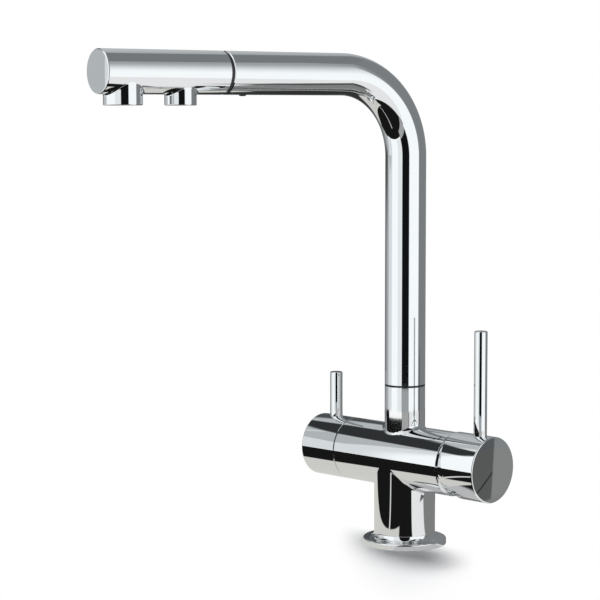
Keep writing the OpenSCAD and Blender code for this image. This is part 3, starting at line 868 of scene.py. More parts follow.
def edit(piece: Piece, mode: str = "", action: str = "") -> None:
    """Enters edit mode on one object.

    Args:
        piece: The mesh object.
        mode: What is selected from here on, VERT, EDGE or FACE, or nothing to leave it.
        action: SELECT or DESELECT for all of it, or nothing to leave it.
    """
    bpy.context.view_layer.objects.active = piece
    bpy.ops.object.mode_set(mode="EDIT")
    if mode:
        bpy.ops.mesh.select_mode(type=mode)
    if action:
        bpy.ops.mesh.select_all(action=action)


def leave() -> None:
    """Leaves edit mode."""
    bpy.ops.object.mode_set(mode="OBJECT")


def choose(piece: Piece, pick: Pick, test: Callable[[Vector, Vector], bool]) -> None:
    """Selects edges or faces by their place.

    Args:
        piece: The mesh object, in object mode.
        pick: Whether edges or faces are selected.
        test: Takes an edge's two ends, or a face's middle and normal.
    """
    activate(piece)
    edit(piece, pick.value, "DESELECT")
    leave()
    mesh = piece.data
    if pick is Pick.EDGE:
        for edge in mesh.edges:
            edge.select = test(*(mesh.vertices[i].co for i in edge.vertices))
    else:
        for face in mesh.polygons:
            face.select = test(face.center, face.normal)


def extrude(shift: Triple = (0, 0, 0)) -> None:
    """Extrudes what is selected by millimetres."""
    move = {"value": tuple(v * MM for v in shift)}
    bpy.ops.mesh.extrude_region_move(TRANSFORM_OT_translate=move)


def modify(piece: Piece, kind: str, **settings: object) -> None:
    """Adds one modifier, sets it and applies it.

    Args:
        piece: The mesh object.
        kind: The modifier's type.
        settings: Its properties.
    """
    activate(piece)
    made = piece.modifiers.new(kind.lower(), kind)
    for name, value in settings.items():
        setattr(made, name, value)
    bpy.ops.object.modifier_apply(modifier=made.name)


def carve(piece: Piece, tool: Piece, operation: str) -> None:
    """Cuts a solid with another one, which is used up."""
    modify(piece, "BOOLEAN", object=tool, operation=operation, solver="EXACT")
    bpy.data.objects.remove(tool)


def clean(piece: Piece, angle: float = 30.0) -> None:
    """Merges doubles, turns the faces outwards and shades the piece smooth by angle.

    Args:
        piece: The mesh object.
        angle: Edges sharper than this many degrees stay sharp.
    """
    activate(piece)
    edit(piece, "VERT", "SELECT")
    bpy.ops.mesh.remove_doubles(threshold=MERGE)
    bpy.ops.mesh.normals_make_consistent(inside=False)
    leave()
    bpy.ops.object.shade_smooth_by_angle(angle=math.radians(angle))


def settle(piece: Piece) -> None:
    """Applies the object's place, turn and size to its mesh."""
    activate(piece)
    bpy.ops.object.transform_apply(location=True, rotation=True, scale=True)


def place(piece: Piece, turns: Triple, shift: Triple) -> None:
    """Turns a piece, moves it and applies both.

    Args:
        piece: The mesh object.
        turns: Euler angles in degrees.
        shift: Its way in millimetres.
    """
    piece.rotation_euler = [math.radians(a) for a in turns]
    piece.location = [v * MM for v in shift]
    settle(piece)


def turn_spout(piece: Piece) -> None:
    """Turns a piece about the riser to where the spout stands at rest."""
    place(piece, (0, 0, -TAP.rest_turn), (0, 0, 0))


def arc(cx: float, cy: float, r: float, start: float, end: float, steps: int) -> Outline:
    """Returns points on an arc.

    Args:
        cx: Its centre's radius from the axis.
        cy: Its centre's height.
        r: Its own radius.
        start: Where it starts, in degrees.
        end: Where it ends.
        steps: How many steps it takes.

    Returns:
        The points, both ends among them.
    """
    angles = [math.radians(start + (end - start) * i / steps) for i in range(steps + 1)]
    return [(cx + r * math.cos(a), cy + r * math.sin(a)) for a in angles]


def shoulder(r: float, top: float, edge: float, steps: int = 8) -> Outline:
    """Returns a rounded edge from an outer wall up to a top face."""
    return arc(r - edge, top - edge, edge, 0, 90, steps)


def ring(bore: float, r: float, low: float, high: float, edge: float) -> Outline:
    """Returns the outline of a ring with rounded outer edges."""
    outer = arc(r - edge, low + edge, edge, 270, 360, 4) + shoulder(r, high, edge, 4)
    return [(bore, low), *outer, (bore, high)]


def loop(name: str, outline: Outline) -> Piece:
    """Makes a closed loop of edges in the XZ plane.

    Args:
        name: The piece's name.
        outline: Radius and height of each point.

    Returns:
        The loop.
    """
    deselect()
    bpy.ops.mesh.primitive_circle_add(vertices=len(outline), radius=1.0, fill_type="NOTHING")
    piece = bpy.context.object
    piece.name = name
    for vertex, (r, z) in zip(piece.data.vertices, outline):
        vertex.co = (r * MM, 0, z * MM)
    return piece


def lathe(name: str, outline: Outline, sides: int = 128) -> Piece:
    """Spins an outline round the Z axis into a closed solid.

    Args:
        name: The piece's name.
        outline: Radius and height of each point, round the section.
        sides: Steps of the spin.

    Returns:
        The piece, along Z at the origin.
    """
    piece = loop(name, outline)
    edit(piece, "VERT", "SELECT")
    bpy.ops.mesh.spin(steps=sides, angle=2 * math.pi, center=(0, 0, 0), axis=(0, 0, 1))
    leave()
    clean(piece)
    return piece


def drill(
    piece: Piece,
    r: float,
    depth: float,
    spot: Triple,
    turns: Triple = (0, 0, 0),
    sides: int = 32,
) -> None:
    """Drills a hole into a solid.

    Args:
        piece: The solid.
        r: The hole's radius.
        depth: How deep it goes, and how far the drill stands out.
        spot: Where it enters the piece.
        turns: Angles that turn the hole from upright.
        sides: The hole's sides: few make a key's recess.
    """
    deselect()
    bpy.ops.mesh.primitive_cylinder_add(vertices=sides, radius=r * MM, depth=2 * depth * MM)
    bit = bpy.context.object
    place(bit, turns, spot)
    carve(piece, bit, "DIFFERENCE")


def unroll(piece: Piece) -> None:
    """Writes a lathed piece's UV while it stands along Z: turns round it, and metres up it.

    Args:
        piece: The mesh object.
    """
    mesh = piece.data
    for old in list(mesh.uv_layers):
        mesh.uv_layers.remove(old)
    layer = mesh.uv_layers.new(name="unrolled")
    full = 2 * math.pi
    for face in mesh.polygons:
        middle = math.atan2(face.center.y, face.center.x)
        for corner in face.loop_indices:
            spot = mesh.vertices[mesh.loops[corner].vertex_index].co
            off = (math.atan2(spot.y, spot.x) - middle + math.pi) % full - math.pi
            layer.data[corner].uv = ((middle + off) / full, spot.z)


def finish(piece: Piece, body: Body, look: Finish, node: str) -> None:
    """Dresses a piece, hangs it on its body and lets it stand for a CAD node.

    Args:
        piece: The finished mesh.
        body: The body that it rides on.
        look: Its finish.
        node: The CAD node that it replaces.
    """
    piece.data.materials.clear()
    piece.data.materials.append(look.make())
    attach(piece, body.value)
    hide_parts(node)
    LOG.info("%s: %d faces", piece.name, len(piece.data.polygons))


# ---------------------------------------------------------------- blended skins


def offset(rel: np.ndarray, least: float = 1e-9) -> tuple[np.ndarray, np.ndarray]:
    """Splits vectors into their lengths, never quite 0, and their directions."""
    size = np.maximum(np.linalg.norm(rel, axis=1), least)
    return size, rel / size[:, None]


@dataclass(frozen=True)
class Bar:
    """A round bar of a casting that runs on without end.

    A bar with a start ends there in a half ball, and otherwise it runs both ways.
    """

    point: Triple
    axis: Triple
    r: float
    start: bool = False

    def reach(self, places: np.ndarray) -> tuple[np.ndarray, np.ndarray]:
        """Measures from places to the bar.

        Args:
            places: The places, a row each.

        Returns:
            Each place's distance from the bar and the way that leads off it.
        """
        axis = np.array(self.axis)
        rel = places - np.array(self.point)
        along = rel @ axis
        if self.start:
            along = np.maximum(along, 0)
        size, way = offset(rel - along[:, None] * axis)
        return size - self.r, way

    def rod(self, reach: float, sides: int) -> Piece:
        """Makes a plain rod along the bar.

        Args:
            reach: How far it runs from the bar's point.
            sides: Its sides.

        Returns:
            The rod.
        """
        axis = Vector(self.axis)
        middle = Vector(self.point) + (axis * reach / 2 if self.start else Vector())
        length = reach if self.start else 2 * reach
        bpy.ops.mesh.primitive_cylinder_add(
            vertices=sides, radius=self.r * MM, depth=length * MM, location=middle * MM
        )
        rod = bpy.context.object
        rod.rotation_euler = axis.to_track_quat("Z", "Y").to_euler()
        return rod


@dataclass(frozen=True)
class Blend:
    """Bars that grow out of one main bar with round fillets, as in a casting.

    Touch is how near the skin a vertex counts as on it. A face with more corners than a
    blended face has, or that turns from the skin's way, keeps its own normal.
    """

    main: Bar
    branches: tuple[Bar, ...]
    fillet: float
    rod_sides: int = 96
    press_rounds: int = 10
    least_spread: float = 1e-6
    touch: float = 0.004
    most_corners: int = 40
    least_facing: float = 0.7

    def reach(self, places: np.ndarray) -> tuple[np.ndarray, np.ndarray]:
        """Measures from places to the skin.

        Args:
            places: The places, a row each.

        Returns:
            Each place's distance from the skin and the way that leads off it.
        """
        base, base_way = self.main.reach(places)
        least, least_way = base.copy(), base_way.copy()
        for branch in self.branches:
            far, far_way = self._pair(base, base_way, *branch.reach(places))
            closer = far < least
            least[closer] = far[closer]
            least_way[closer] = far_way[closer]
        return least, least_way

    def _pair(
        self, a: np.ndarray, a_way: np.ndarray, b: np.ndarray, b_way: np.ndarray
    ) -> tuple[np.ndarray, np.ndarray]:
        """Blends two surfaces with a ball that rolls along both.

        Args:
            a: Distances from the first surface.
            a_way: The ways that lead off it.
            b: Distances from the second surface.
            b_way: The ways that lead off it.

        Returns:
            Distances from the blended surface and the ways that lead off it.
        """
        lean = np.sum(a_way * b_way, axis=1)
        from_a = (self.fillet - a) - lean * (self.fillet - b)
        from_b = (self.fillet - b) - lean * (self.fillet - a)
        inside = (from_a > 0) & (from_b > 0)
        spread = np.maximum(1 - lean**2, self.least_spread)[:, None]
        size, centre_way = offset((from_a[:, None] * a_way + from_b[:, None] * b_way) / spread)
        nearer = a < b
        far = np.where(inside, self.fillet - size, np.where(nearer, a, b))
        way = np.where(nearer[:, None], a_way, b_way)
        way[inside] = centre_way[inside]
        return far, way

    def skin(self, name: str, reach: float, cell: float) -> Piece:
        """Makes the blended skin from joined rods.

        Args:
            name: The piece's name.
            reach: How far each bar runs.
            cell: Size of the mesh's cells.

        Returns:
            The skin, with its bars running past every end that is cut later.
        """
        deselect()
        rods = [bar.rod(reach, self.rod_sides) for bar in (self.main, *self.branches)]
        for rod in rods:
            rod.select_set(True)
        bpy.ops.object.join()
        piece = bpy.context.object
        piece.name = name
        settle(piece)
        modify(piece, "REMESH", mode="VOXEL", voxel_size=cell * MM)
        places = read_places(piece)
        for _ in range(self.press_rounds):
            far, way = self.reach(places)
            places -= far[:, None] * way
        piece.data.vertices.foreach_set("co", (places * MM).ravel())
        piece.data.update()
        return piece

    def smooth(self, piece: Piece, turn: float = 0.0) -> None:
        """Gives the faces that lie on the skin the skin's own normals.

        Args:
            piece: The finished piece.
            turn: How far it has been turned about Z since it was made, in degrees.
        """
        clean(piece)
        spin = np.array(Matrix.Rotation(math.radians(turn), 3, "Z"))
        far, way = self.reach(read_places(piece) @ spin)
        way = way @ spin.T
        on = np.abs(far) < self.touch
        mesh = piece.data
        normals = np.zeros((len(mesh.loops), 3))
        for face in mesh.polygons:
            corners = list(face.vertices)
            if len(corners) >= self.most_corners or not on[corners].all():
                continue
            if way[corners[0]] @ np.array(face.normal) > self.least_facing:
                normals[list(face.loop_indices)] = way[corners]
        mesh.normals_split_custom_set(normals.tolist())


def read_places(piece: Piece) -> np.ndarray:
    """Reads where a piece's vertices are.

    Args:
        piece: The mesh object.

    Returns:
        Its vertices in millimetres, a row each.
    """
    flat = np.empty(len(piece.data.vertices) * 3)
    piece.data.vertices.foreach_get("co", flat)
    return flat.reshape(-1, 3) / MM


@dataclass(frozen=True)
class End:
    """A plane where a skin ends: a point of it, the way out and the end's radius."""

    place: Triple
    way: Triple
    r: float

    def back(self, edge: float) -> End:
        """Returns the same end a little further in."""
        return End(tuple(p - w * edge for p, w in zip(self.place, self.way)), self.way, self.r)

    def cut(self, piece: Piece) -> None:
        """Cuts off what lies beyond the plane.

        Args:
            piece: The mesh object.
        """
        edit(piece, "VERT", "SELECT")
        spot = [v * MM for v in self.place]
        bpy.ops.mesh.bisect(plane_co=spot, plane_no=self.way, clear_outer=True, threshold=EXACT)
        leave()

    def choose_rim(self, piece: Piece, slack: float = 1.0, touch: float = 0.01) -> None:
        """Selects the open rims on the plane.

        Args:
            piece: The mesh object.
            slack: How far past the radius a rim may reach.
            touch: How far off the plane it may lie.
        """
        edit(piece, "VERT", "DESELECT")
        bpy.ops.mesh.select_non_manifold(
            extend=False,
            use_wire=False,
            use_multi_face=False,
            use_non_contiguous=False,
            use_verts=False,
        )
        leave()
        spot, normal = Vector(self.place), Vector(self.way).normalized()
        chosen = []
        for vertex in piece.data.vertices:
            rel = vertex.co / MM - spot
            near = abs(rel.dot(normal)) < touch and rel.length < self.r + slack
            if vertex.select and near:
                chosen.append(vertex.index)
        edit(piece, action="DESELECT")
        leave()
        for index in chosen:
            piece.data.vertices[index].select = True

    def close(self, piece: Piece, steps: Outline, fill: bool = True) -> None:
        """Grows the open end of a skin through a list of rings.

        Args:
            piece: The skin, already cut at the plane.
            steps: Radius and distance past the plane of each further ring.
            fill: Whether the last ring is closed with a face.
        """
        spot, normal = Vector(self.place), Vector(self.way)
        self.choose_rim(piece)
        for number, (ring_r, shift) in enumerate([(self.r, 0.0)] + steps):
            if number:
                edit(piece)
                extrude()
                leave()
            for vertex in piece.data.vertices:
                if vertex.select:
                    rel = vertex.co / MM - spot
                    flat = rel - normal * rel.dot(normal)
                    vertex.co = (spot + flat.normalized() * ring_r + normal * shift) * MM
        if fill:
            edit(piece)
            bpy.ops.mesh.edge_face_add()
            leave()


def rounding(r: float, edge: float, steps: int) -> Outline:
    """Returns the rings of a rounded edge that ends edge past the plane."""
    return arc(r - edge, 0, edge, 0, 90, steps)[1:]


# ---------------------------------------------------------------- sub-assemblies


@dataclass
class Spout:
    """The turning tube: riser, bend and arm."""

    wall: float = 1.2
    bend_r: float = 55.0
    arm_end: float = 148.4
    seat: float = 0.05
    chamfer: float = 0.6
    edge: float = 0.25
    sides: int = 128
    bend_steps: int = 64

    def build(self) -> None:
        """Makes the tube by extruding and spinning one ring, and gives it its wall."""
        low = TAP.neck_top + TAP.ring_h + self.seat
        high = TAP.arm_h - self.bend_r
        foot_r = TAP.tube_r - self.edge
        deselect()
        bpy.ops.mesh.primitive_circle_add(
            vertices=self.sides, radius=foot_r * MM, location=(0, 0, low * MM)
        )
        tube = bpy.context.object
        tube.name = "spout_skin"
        settle(tube)
        edit(tube, "VERT", "SELECT")
        extrude((0, 0, self.edge))
        grown = TAP.tube_r / foot_r
        middle = (0, 0, (low + self.edge) * MM)
        bpy.ops.transform.resize(value=(grown, grown, 1), center_override=middle)
        extrude((0, 0, high - low - self.edge))
        bpy.ops.mesh.spin(
            steps=self.bend_steps,
            angle=math.pi / 2,
            center=(0, -self.bend_r * MM, high * MM),
            axis=(-1, 0, 0),
        )
        extrude((0, -(self.arm_end - self.chamfer - self.bend_r), 0))
        extrude((0, -self.chamfer, 0))
        shrunk = (TAP.tube_r - self.chamfer) / TAP.tube_r
        middle = (0, -self.arm_end * MM, TAP.arm_h * MM)
        bpy.ops.transform.resize(value=(shrunk, 1, shrunk), center_override=middle)
        leave()
        clean(tube)
        modify(tube, "SOLIDIFY", thickness=self.wall * MM, offset=-1.0)
        clean(tube)
        turn_spout(tube)
        finish(tube, Body.SPOUT, CHROME, "spout_tube")


@dataclass
class Casting:
    """The body casting: column, barrel and neck in one skin, and the foot under it."""

    column_r: float = 21.2
    barrel_left: float = 47.6
    fillet: float = 2.5
    cell: float = 0.8
    spare: float = 4.0
    edge: float = 0.3
    stop_hole_r: float = 2.05
    stop_hole_h: float = 99.9
    stop_hole_depth: float = 5.2
    foot_sides: int = 160
    foot_r: float = 29.0
    foot_h: float = 4.2
    foot_low_edge: float = 0.35
    foot_edge: float = 1.0
    foot_sweep: float = 4.0
    spigot_r: float = 18.7
    play: float = 0.02

    def build(self) -> None:
        """Makes the casting's skin and the foot."""
        self._skin()
        self._foot()

    def _skin(self) -> None:
        """Blends the three bars and closes their four ends."""
        middle, up, down = (0, 0, TAP.barrel_h), (0, 0, 1), (0, 0, -1)
        blend = Blend(
            Bar(middle, (1, 0, 0), TAP.barrel_r),
            (Bar(middle, up, TAP.tube_r, True), Bar(middle, down, self.column_r, True)),
            self.fillet,
        )
        skin = blend.skin("casting_skin", TAP.barrel_h + self.spare, self.cell)
        for end in (
            End((TAP.barrel_right, 0, TAP.barrel_h), (1, 0, 0), TAP.barrel_r),
            End((-self.barrel_left, 0, TAP.barrel_h), (-1, 0, 0), TAP.barrel_r),
            End((0, 0, TAP.neck_top), up, TAP.tube_r),
            End((0, 0, self.foot_h), down, self.column_r),
        ):
            inner = end.back(self.edge)
            inner.cut(skin)
            inner.close(skin, rounding(end.r, self.edge, 3))
        clean(skin)
        spot = (0, TAP.tube_r, self.stop_hole_h)
        drill(skin, self.stop_hole_r, self.stop_hole_depth, spot, (90, 0, 0))
        blend.smooth(skin)
        finish(skin, Body.TAP, CHROME, "body_casting")

    def _foot(self) -> None:
        """Spins the flange with its soft sweep into the column."""
        wall, seat, sweep = self.column_r + self.play, self.foot_h - self.play, self.foot_sweep
        outline = [(self.spigot_r, 0), (self.foot_r - self.foot_low_edge, 0)]
        outline += [(self.foot_r, self.foot_low_edge)]
        outline += shoulder(self.foot_r, self.foot_h, self.foot_edge)
        outline += arc(wall + sweep, self.foot_h + sweep, sweep, 270, 180, 8)
        outline += [(wall, seat), (self.spigot_r, seat)]
        finish(lathe("foot", outline, self.foot_sides), Body.TAP, CHROME, "base_flange")


@dataclass
class Handles:
    """Both caps with their levers, and the ball cover beside the mixer's cap.

    The mixer's cap is hollowed to a ball socket, and its rim is cut on a slant.
    """

    sides: int = 160
    cap_edge: float = 0.9
    pivot_x: float = 51.8
    mixer_r: float = 22.3
    mixer_face: float = 78.3
    socket_r: float = 21.55
    skirt: float = 4.0
    slant: float = 13.7
    cut_x: float = 52.4
    filter_low: float = 48.1
    filter_face: float = 79.3
    filter_bore: float = 18.55
    filter_depth: float = 10.0
    filter_edge: float = 0.3
    screw_r: float = 1.53
    screw_depth: float = 8.0
    mixer_screw: float = 75.4
    ball_r: float = 21.2
    ball_wall: float = 1.2
    ball_from: float = -15.0
    ball_to: float = 41.0
    ball_steps: int = 24
    lever_sides: int = 64
    lever_r: float = 4.45
    lever_edge: float = 0.8
    lever_sunk: float = 1.2
    mixer_lever: float = 67.3
    mixer_top: float = 153.3
    filter_lever: float = 65.5
    filter_top: float = 114.0

    def build(self) -> None:
        """Makes the caps, levers and ball cover."""
        self._mixer_cap()
        self._ball_cover()
        self._filter_cap()
        rod = self._lever("mixer_rod", self.mixer_lever, self.mixer_r, self.mixer_top)
        finish(rod, Body.MIXER, CHROME, "mixer_lever")
        rod = self._lever("filter_rod", -self.filter_lever, TAP.barrel_r, self.filter_top)
        finish(rod, Body.FILTER, CHROME, "filter_lever")

    def _mixer_cap(self) -> None:
        """Spins the cup over the ball and cuts its rim on the slant."""
        low = TAP.barrel_right - self.skirt
        outline = [(self.mixer_r, low)]
        outline += shoulder(self.mixer_r, self.mixer_face, self.cap_edge) + [(0, self.mixer_face)]
        socket = arc(0, self.pivot_x, self.socket_r, 90, 0, 32)
        outline += [(max(r, 0), x) for r, x in socket] + [(self.socket_r, low)]
        cap = lathe("mixer_cup", outline, self.sides)
        place(cap, (0, 90, 0), (0, 0, TAP.barrel_h))
        tilt = math.radians(self.slant)
        way = (-math.cos(tilt), 0, -math.sin(tilt))
        rim = End((self.cut_x, 0, TAP.barrel_h), way, self.mixer_r)
        rim.cut(cap)
        rim.choose_rim(cap, self.mixer_r)
        edit(cap, "EDGE")
        bpy.ops.mesh.bridge_edge_loops()
        leave()
        spot = (self.mixer_screw, 0, TAP.barrel_h - self.mixer_r)
        drill(cap, self.screw_r, self.screw_depth, spot)
        clean(cap)
        finish(cap, Body.MIXER, CHROME, "mixer_cap")

    def _filter_cap(self) -> None:
        """Spins the filter handle's cap."""
        low, bore, face, r = self.filter_low, self.filter_bore, self.filter_face, TAP.barrel_r
        floor = low + self.filter_depth
        outline = [(bore, low), (r - self.filter_edge, low), (r, low + self.filter_edge)]
        outline += shoulder(r, face, self.cap_edge) + [(0, face), (0, floor), (bore, floor)]
        cap = lathe("filter_cup", outline, self.sides)
        place(cap, (0, -90, 0), (0, 0, TAP.barrel_h))
        spot = (-self.filter_lever, 0, TAP.barrel_h - r)
        drill(cap, self.screw_r, self.screw_depth, spot)
        clean(cap)
        finish(cap, Body.FILTER, CHROME, "filter_cap")

    def _ball_cover(self) -> None:
        """Spins the zone of the fixed ball."""
        steps, low = self.ball_steps, TAP.barrel_right
        outer = arc(0, self.pivot_x, self.ball_r, self.ball_from, self.ball_to, steps)
        inner_r = self.ball_r - self.ball_wall
        inner = arc(0, self.pivot_x, inner_r, self.ball_to, self.ball_from, steps)
        outline = [(r, x) for r, x in outer if x >= low - 0.01] + inner
        ball = lathe("ball_zone", outline, self.sides)
        place(ball, (0, 90, 0), (0, 0, TAP.barrel_h))
        End((low, 0, TAP.barrel_h), (-1, 0, 0), self.ball_r).cut(ball)
        clean(ball)
        finish(ball, Body.TAP, CHROME, "ball_cover")

    def _lever(self, name: str, x: float, cap_r: float, top: float) -> Piece:
        """Spins a lever rod with a rounded top, its foot sunk into the cap.

        Args:
            name: The piece's name.
            x: Its place along the barrel.
            cap_r: Radius of the cap that it stands on.
            top: Height of its top.

        Returns:
            The rod.
        """
        low = TAP.barrel_h + cap_r - self.lever_sunk
        outline = [(0, low), (self.lever_r, low)]
        outline += shoulder(self.lever_r, top, self.lever_edge, 6) + [(0, top)]
        rod = lathe(name, outline, self.lever_sides)
        place(rod, (0, 0, 0), (x, 0, 0))
        return rod


@dataclass
class Head:
    """The pull-out head with its two outlets, each given by its place and its radius."""

    low: float = 150.75
    top: float = 240.35
    outlets: tuple[tuple[float, float], ...] = ((222.65, 12.3), (180.85, 10.2))
    drop: float = 20.8
    outlet_wall: float = 1.7
    outlet_depth: float = 11.0
    outlet_edge: float = 0.7
    shell_wall: float = 1.58
    shell_depth: float = 20.0
    rear_edge: float = 0.25
    edge: float = 0.8
    fillet: float = 1.6
    cell: float = 0.65
    spare: float = 4.0

    def build(self) -> None:
        """Makes the shell: a blended skin with its ends closed and its outlets opened."""
        ahead, behind, down = (0, -1, 0), (0, 1, 0), (0, 0, -1)
        r, h = TAP.tube_r, TAP.arm_h
        blend = Blend(
            Bar((0, -(self.low + self.top) / 2, h), ahead, r),
            tuple(Bar((0, -s, h), down, outlet_r, True) for s, outlet_r in self.outlets),
            self.fillet,
        )
        skin = blend.skin("head_skin", (self.top - self.low) / 2 + self.spare, self.cell)
        front = End((0, -(self.top - self.edge), h), ahead, r)
        front.cut(skin)
        front.close(skin, rounding(r, self.edge, 6))
        bore = r - self.shell_wall
        rear = End((0, -(self.low + self.rear_edge), h), behind, r)
        rear.cut(skin)
        rings = rounding(r, self.rear_edge, 3)
        rings += [(bore, self.rear_edge), (bore, -self.shell_depth)]
        rear.close(skin, rings, fill=False)
        rim_h = h - self.drop + self.outlet_edge
        End((0, 0, rim_h), down, r).cut(skin)
        for s, outlet_r in self.outlets:
            inner = outlet_r - self.outlet_wall
            rings = rounding(outlet_r, self.outlet_edge, 5)
            rings += [(inner, self.outlet_edge), (inner, -self.outlet_depth)]
            End((0, -s, rim_h), down, outlet_r).close(skin, rings, fill=False)
        turn_spout(skin)
        blend.smooth(skin, -TAP.rest_turn)
        finish(skin, Body.HEAD, CHROME, "head_shell")


@dataclass(frozen=True)
class SetScrew:
    """A set screw with a hexagon recess in the end that lies at its spot.

    Its turns are the angles from where the recess faces down. The shares are those of the
    screw's radius.
    """

    name: str
    node: str
    body: Body
    r: float
    length: float
    spot: Triple
    turns: Triple = (0, 0, 0)
    sides: int = 48
    edge: float = 0.3
    key_share: float = 0.55
    key_depth_share: float = 0.5

    def build(self) -> None:
        """Spins the screw, sinks its recess and puts it in its place."""
        r, edge, length = self.r, self.edge, self.length
        outline = [(0, 0), (r - edge, 0), (r, edge), (r, length - edge)]
        outline += [(r - edge, length), (0, length)]
        screw = lathe(self.name, outline, self.sides)
        drill(screw, self.key_share * r, self.key_depth_share * r, (0, 0, 0), sides=6)
        clean(screw)
        place(screw, self.turns, self.spot)
        finish(screw, self.body, STEEL, self.node)


@dataclass
class Fittings:
    """Small pieces that show in the seams and when the head is pulled out."""

    ring_bore: float = 11.1
    ring_edge: float = 0.3
    hose: tuple[float, float] = (59, 123.4)
    hose_sides: int = 96
    hose_r: float = 5.5
    hose_bore: float = 4.6
    screw_sides: int = 48
    screw_s: float = 134.0
    screw_low: float = 308.9
    screw_high: float = 312.7
    dome: tuple[tuple[float, float], ...] = ((0.0, 0.0), (0.8, 0.0), (2.0, 0.18), (2.35, 0.5))
    head_r: float = 2.35
    head_h: float = 0.8
    thread_r: float = 1.5
    thread_start: float = 0.3
    thread_pitch: float = 0.4
    thread_depth: float = 0.2
    tip: float = 0.1
    key_r: float = 0.95
    key_depth: float = 0.55
    set_screws: tuple[SetScrew, ...] = (
        SetScrew(
            "stop_screw", "spout_stop_screw", Body.TAP, 2.0, 4.15, (0, 13.2, 99.9), (90, 0, 0)
        ),
        SetScrew("mixer_set", "mixer_grub_screw", Body.MIXER, 1.5, 17.3, (75.4, 0, 39.4)),
        SetScrew("filter_set", "filter_grub_screw", Body.FILTER, 1.5, 16.75, (-65.5, 0, 39.95)),
    )

    def build(self) -> None:
        """Makes the glide ring, the braided hose and the screws."""
        top = TAP.neck_top + TAP.ring_h
        outline = ring(self.ring_bore, TAP.tube_r, TAP.neck_top, top, self.ring_edge)
        finish(lathe("glide_ring", outline), Body.TAP, BLACK, "swivel_glide_ring")
        self._dock_screw()
        self._hose()
        for screw in self.set_screws:
            screw.build()

    def _dock_screw(self) -> None:
        """Spins the screw with its domed head, fine thread and hexagon recess."""
        low, high, r = self.screw_low, self.screw_high, self.thread_r
        seat = low + self.head_h
        outline = [(x, low + z) for x, z in self.dome] + [(self.head_r, seat), (r, seat)]
        groove = seat + self.thread_start
        while groove + self.thread_pitch < high:
            outline += [(r, groove), (r - self.thread_depth, groove + self.thread_depth)]
            groove += self.thread_pitch
        outline += [(r, high - self.tip), (r - self.tip, high), (0, high)]
        screw = lathe("dock_screw", outline, self.screw_sides)
        drill(screw, self.key_r, self.key_depth, (0, 0, low), sides=6)
        clean(screw)
        place(screw, (0, 0, 0), (0, -self.screw_s, 0))
        turn_spout(screw)
        finish(screw, Body.SPOUT, BLACK, "docking_screw")

    def _hose(self) -> None:
        """Spins the stretch of braided hose in the arm and unrolls its braid."""
        low, high = self.hose
        outline = [(self.hose_bore, low), (self.hose_r, low)]
        outline += [(self.hose_r, high), (self.hose_bore, high)]
        hose = lathe("braided_hose", outline, self.hose_sides)
        unroll(hose)
        place(hose, (90, 0, 0), (0, 0, TAP.arm_h))
        turn_spout(hose)
        finish(hose, Body.HEAD, BRAID, "hose_arm")


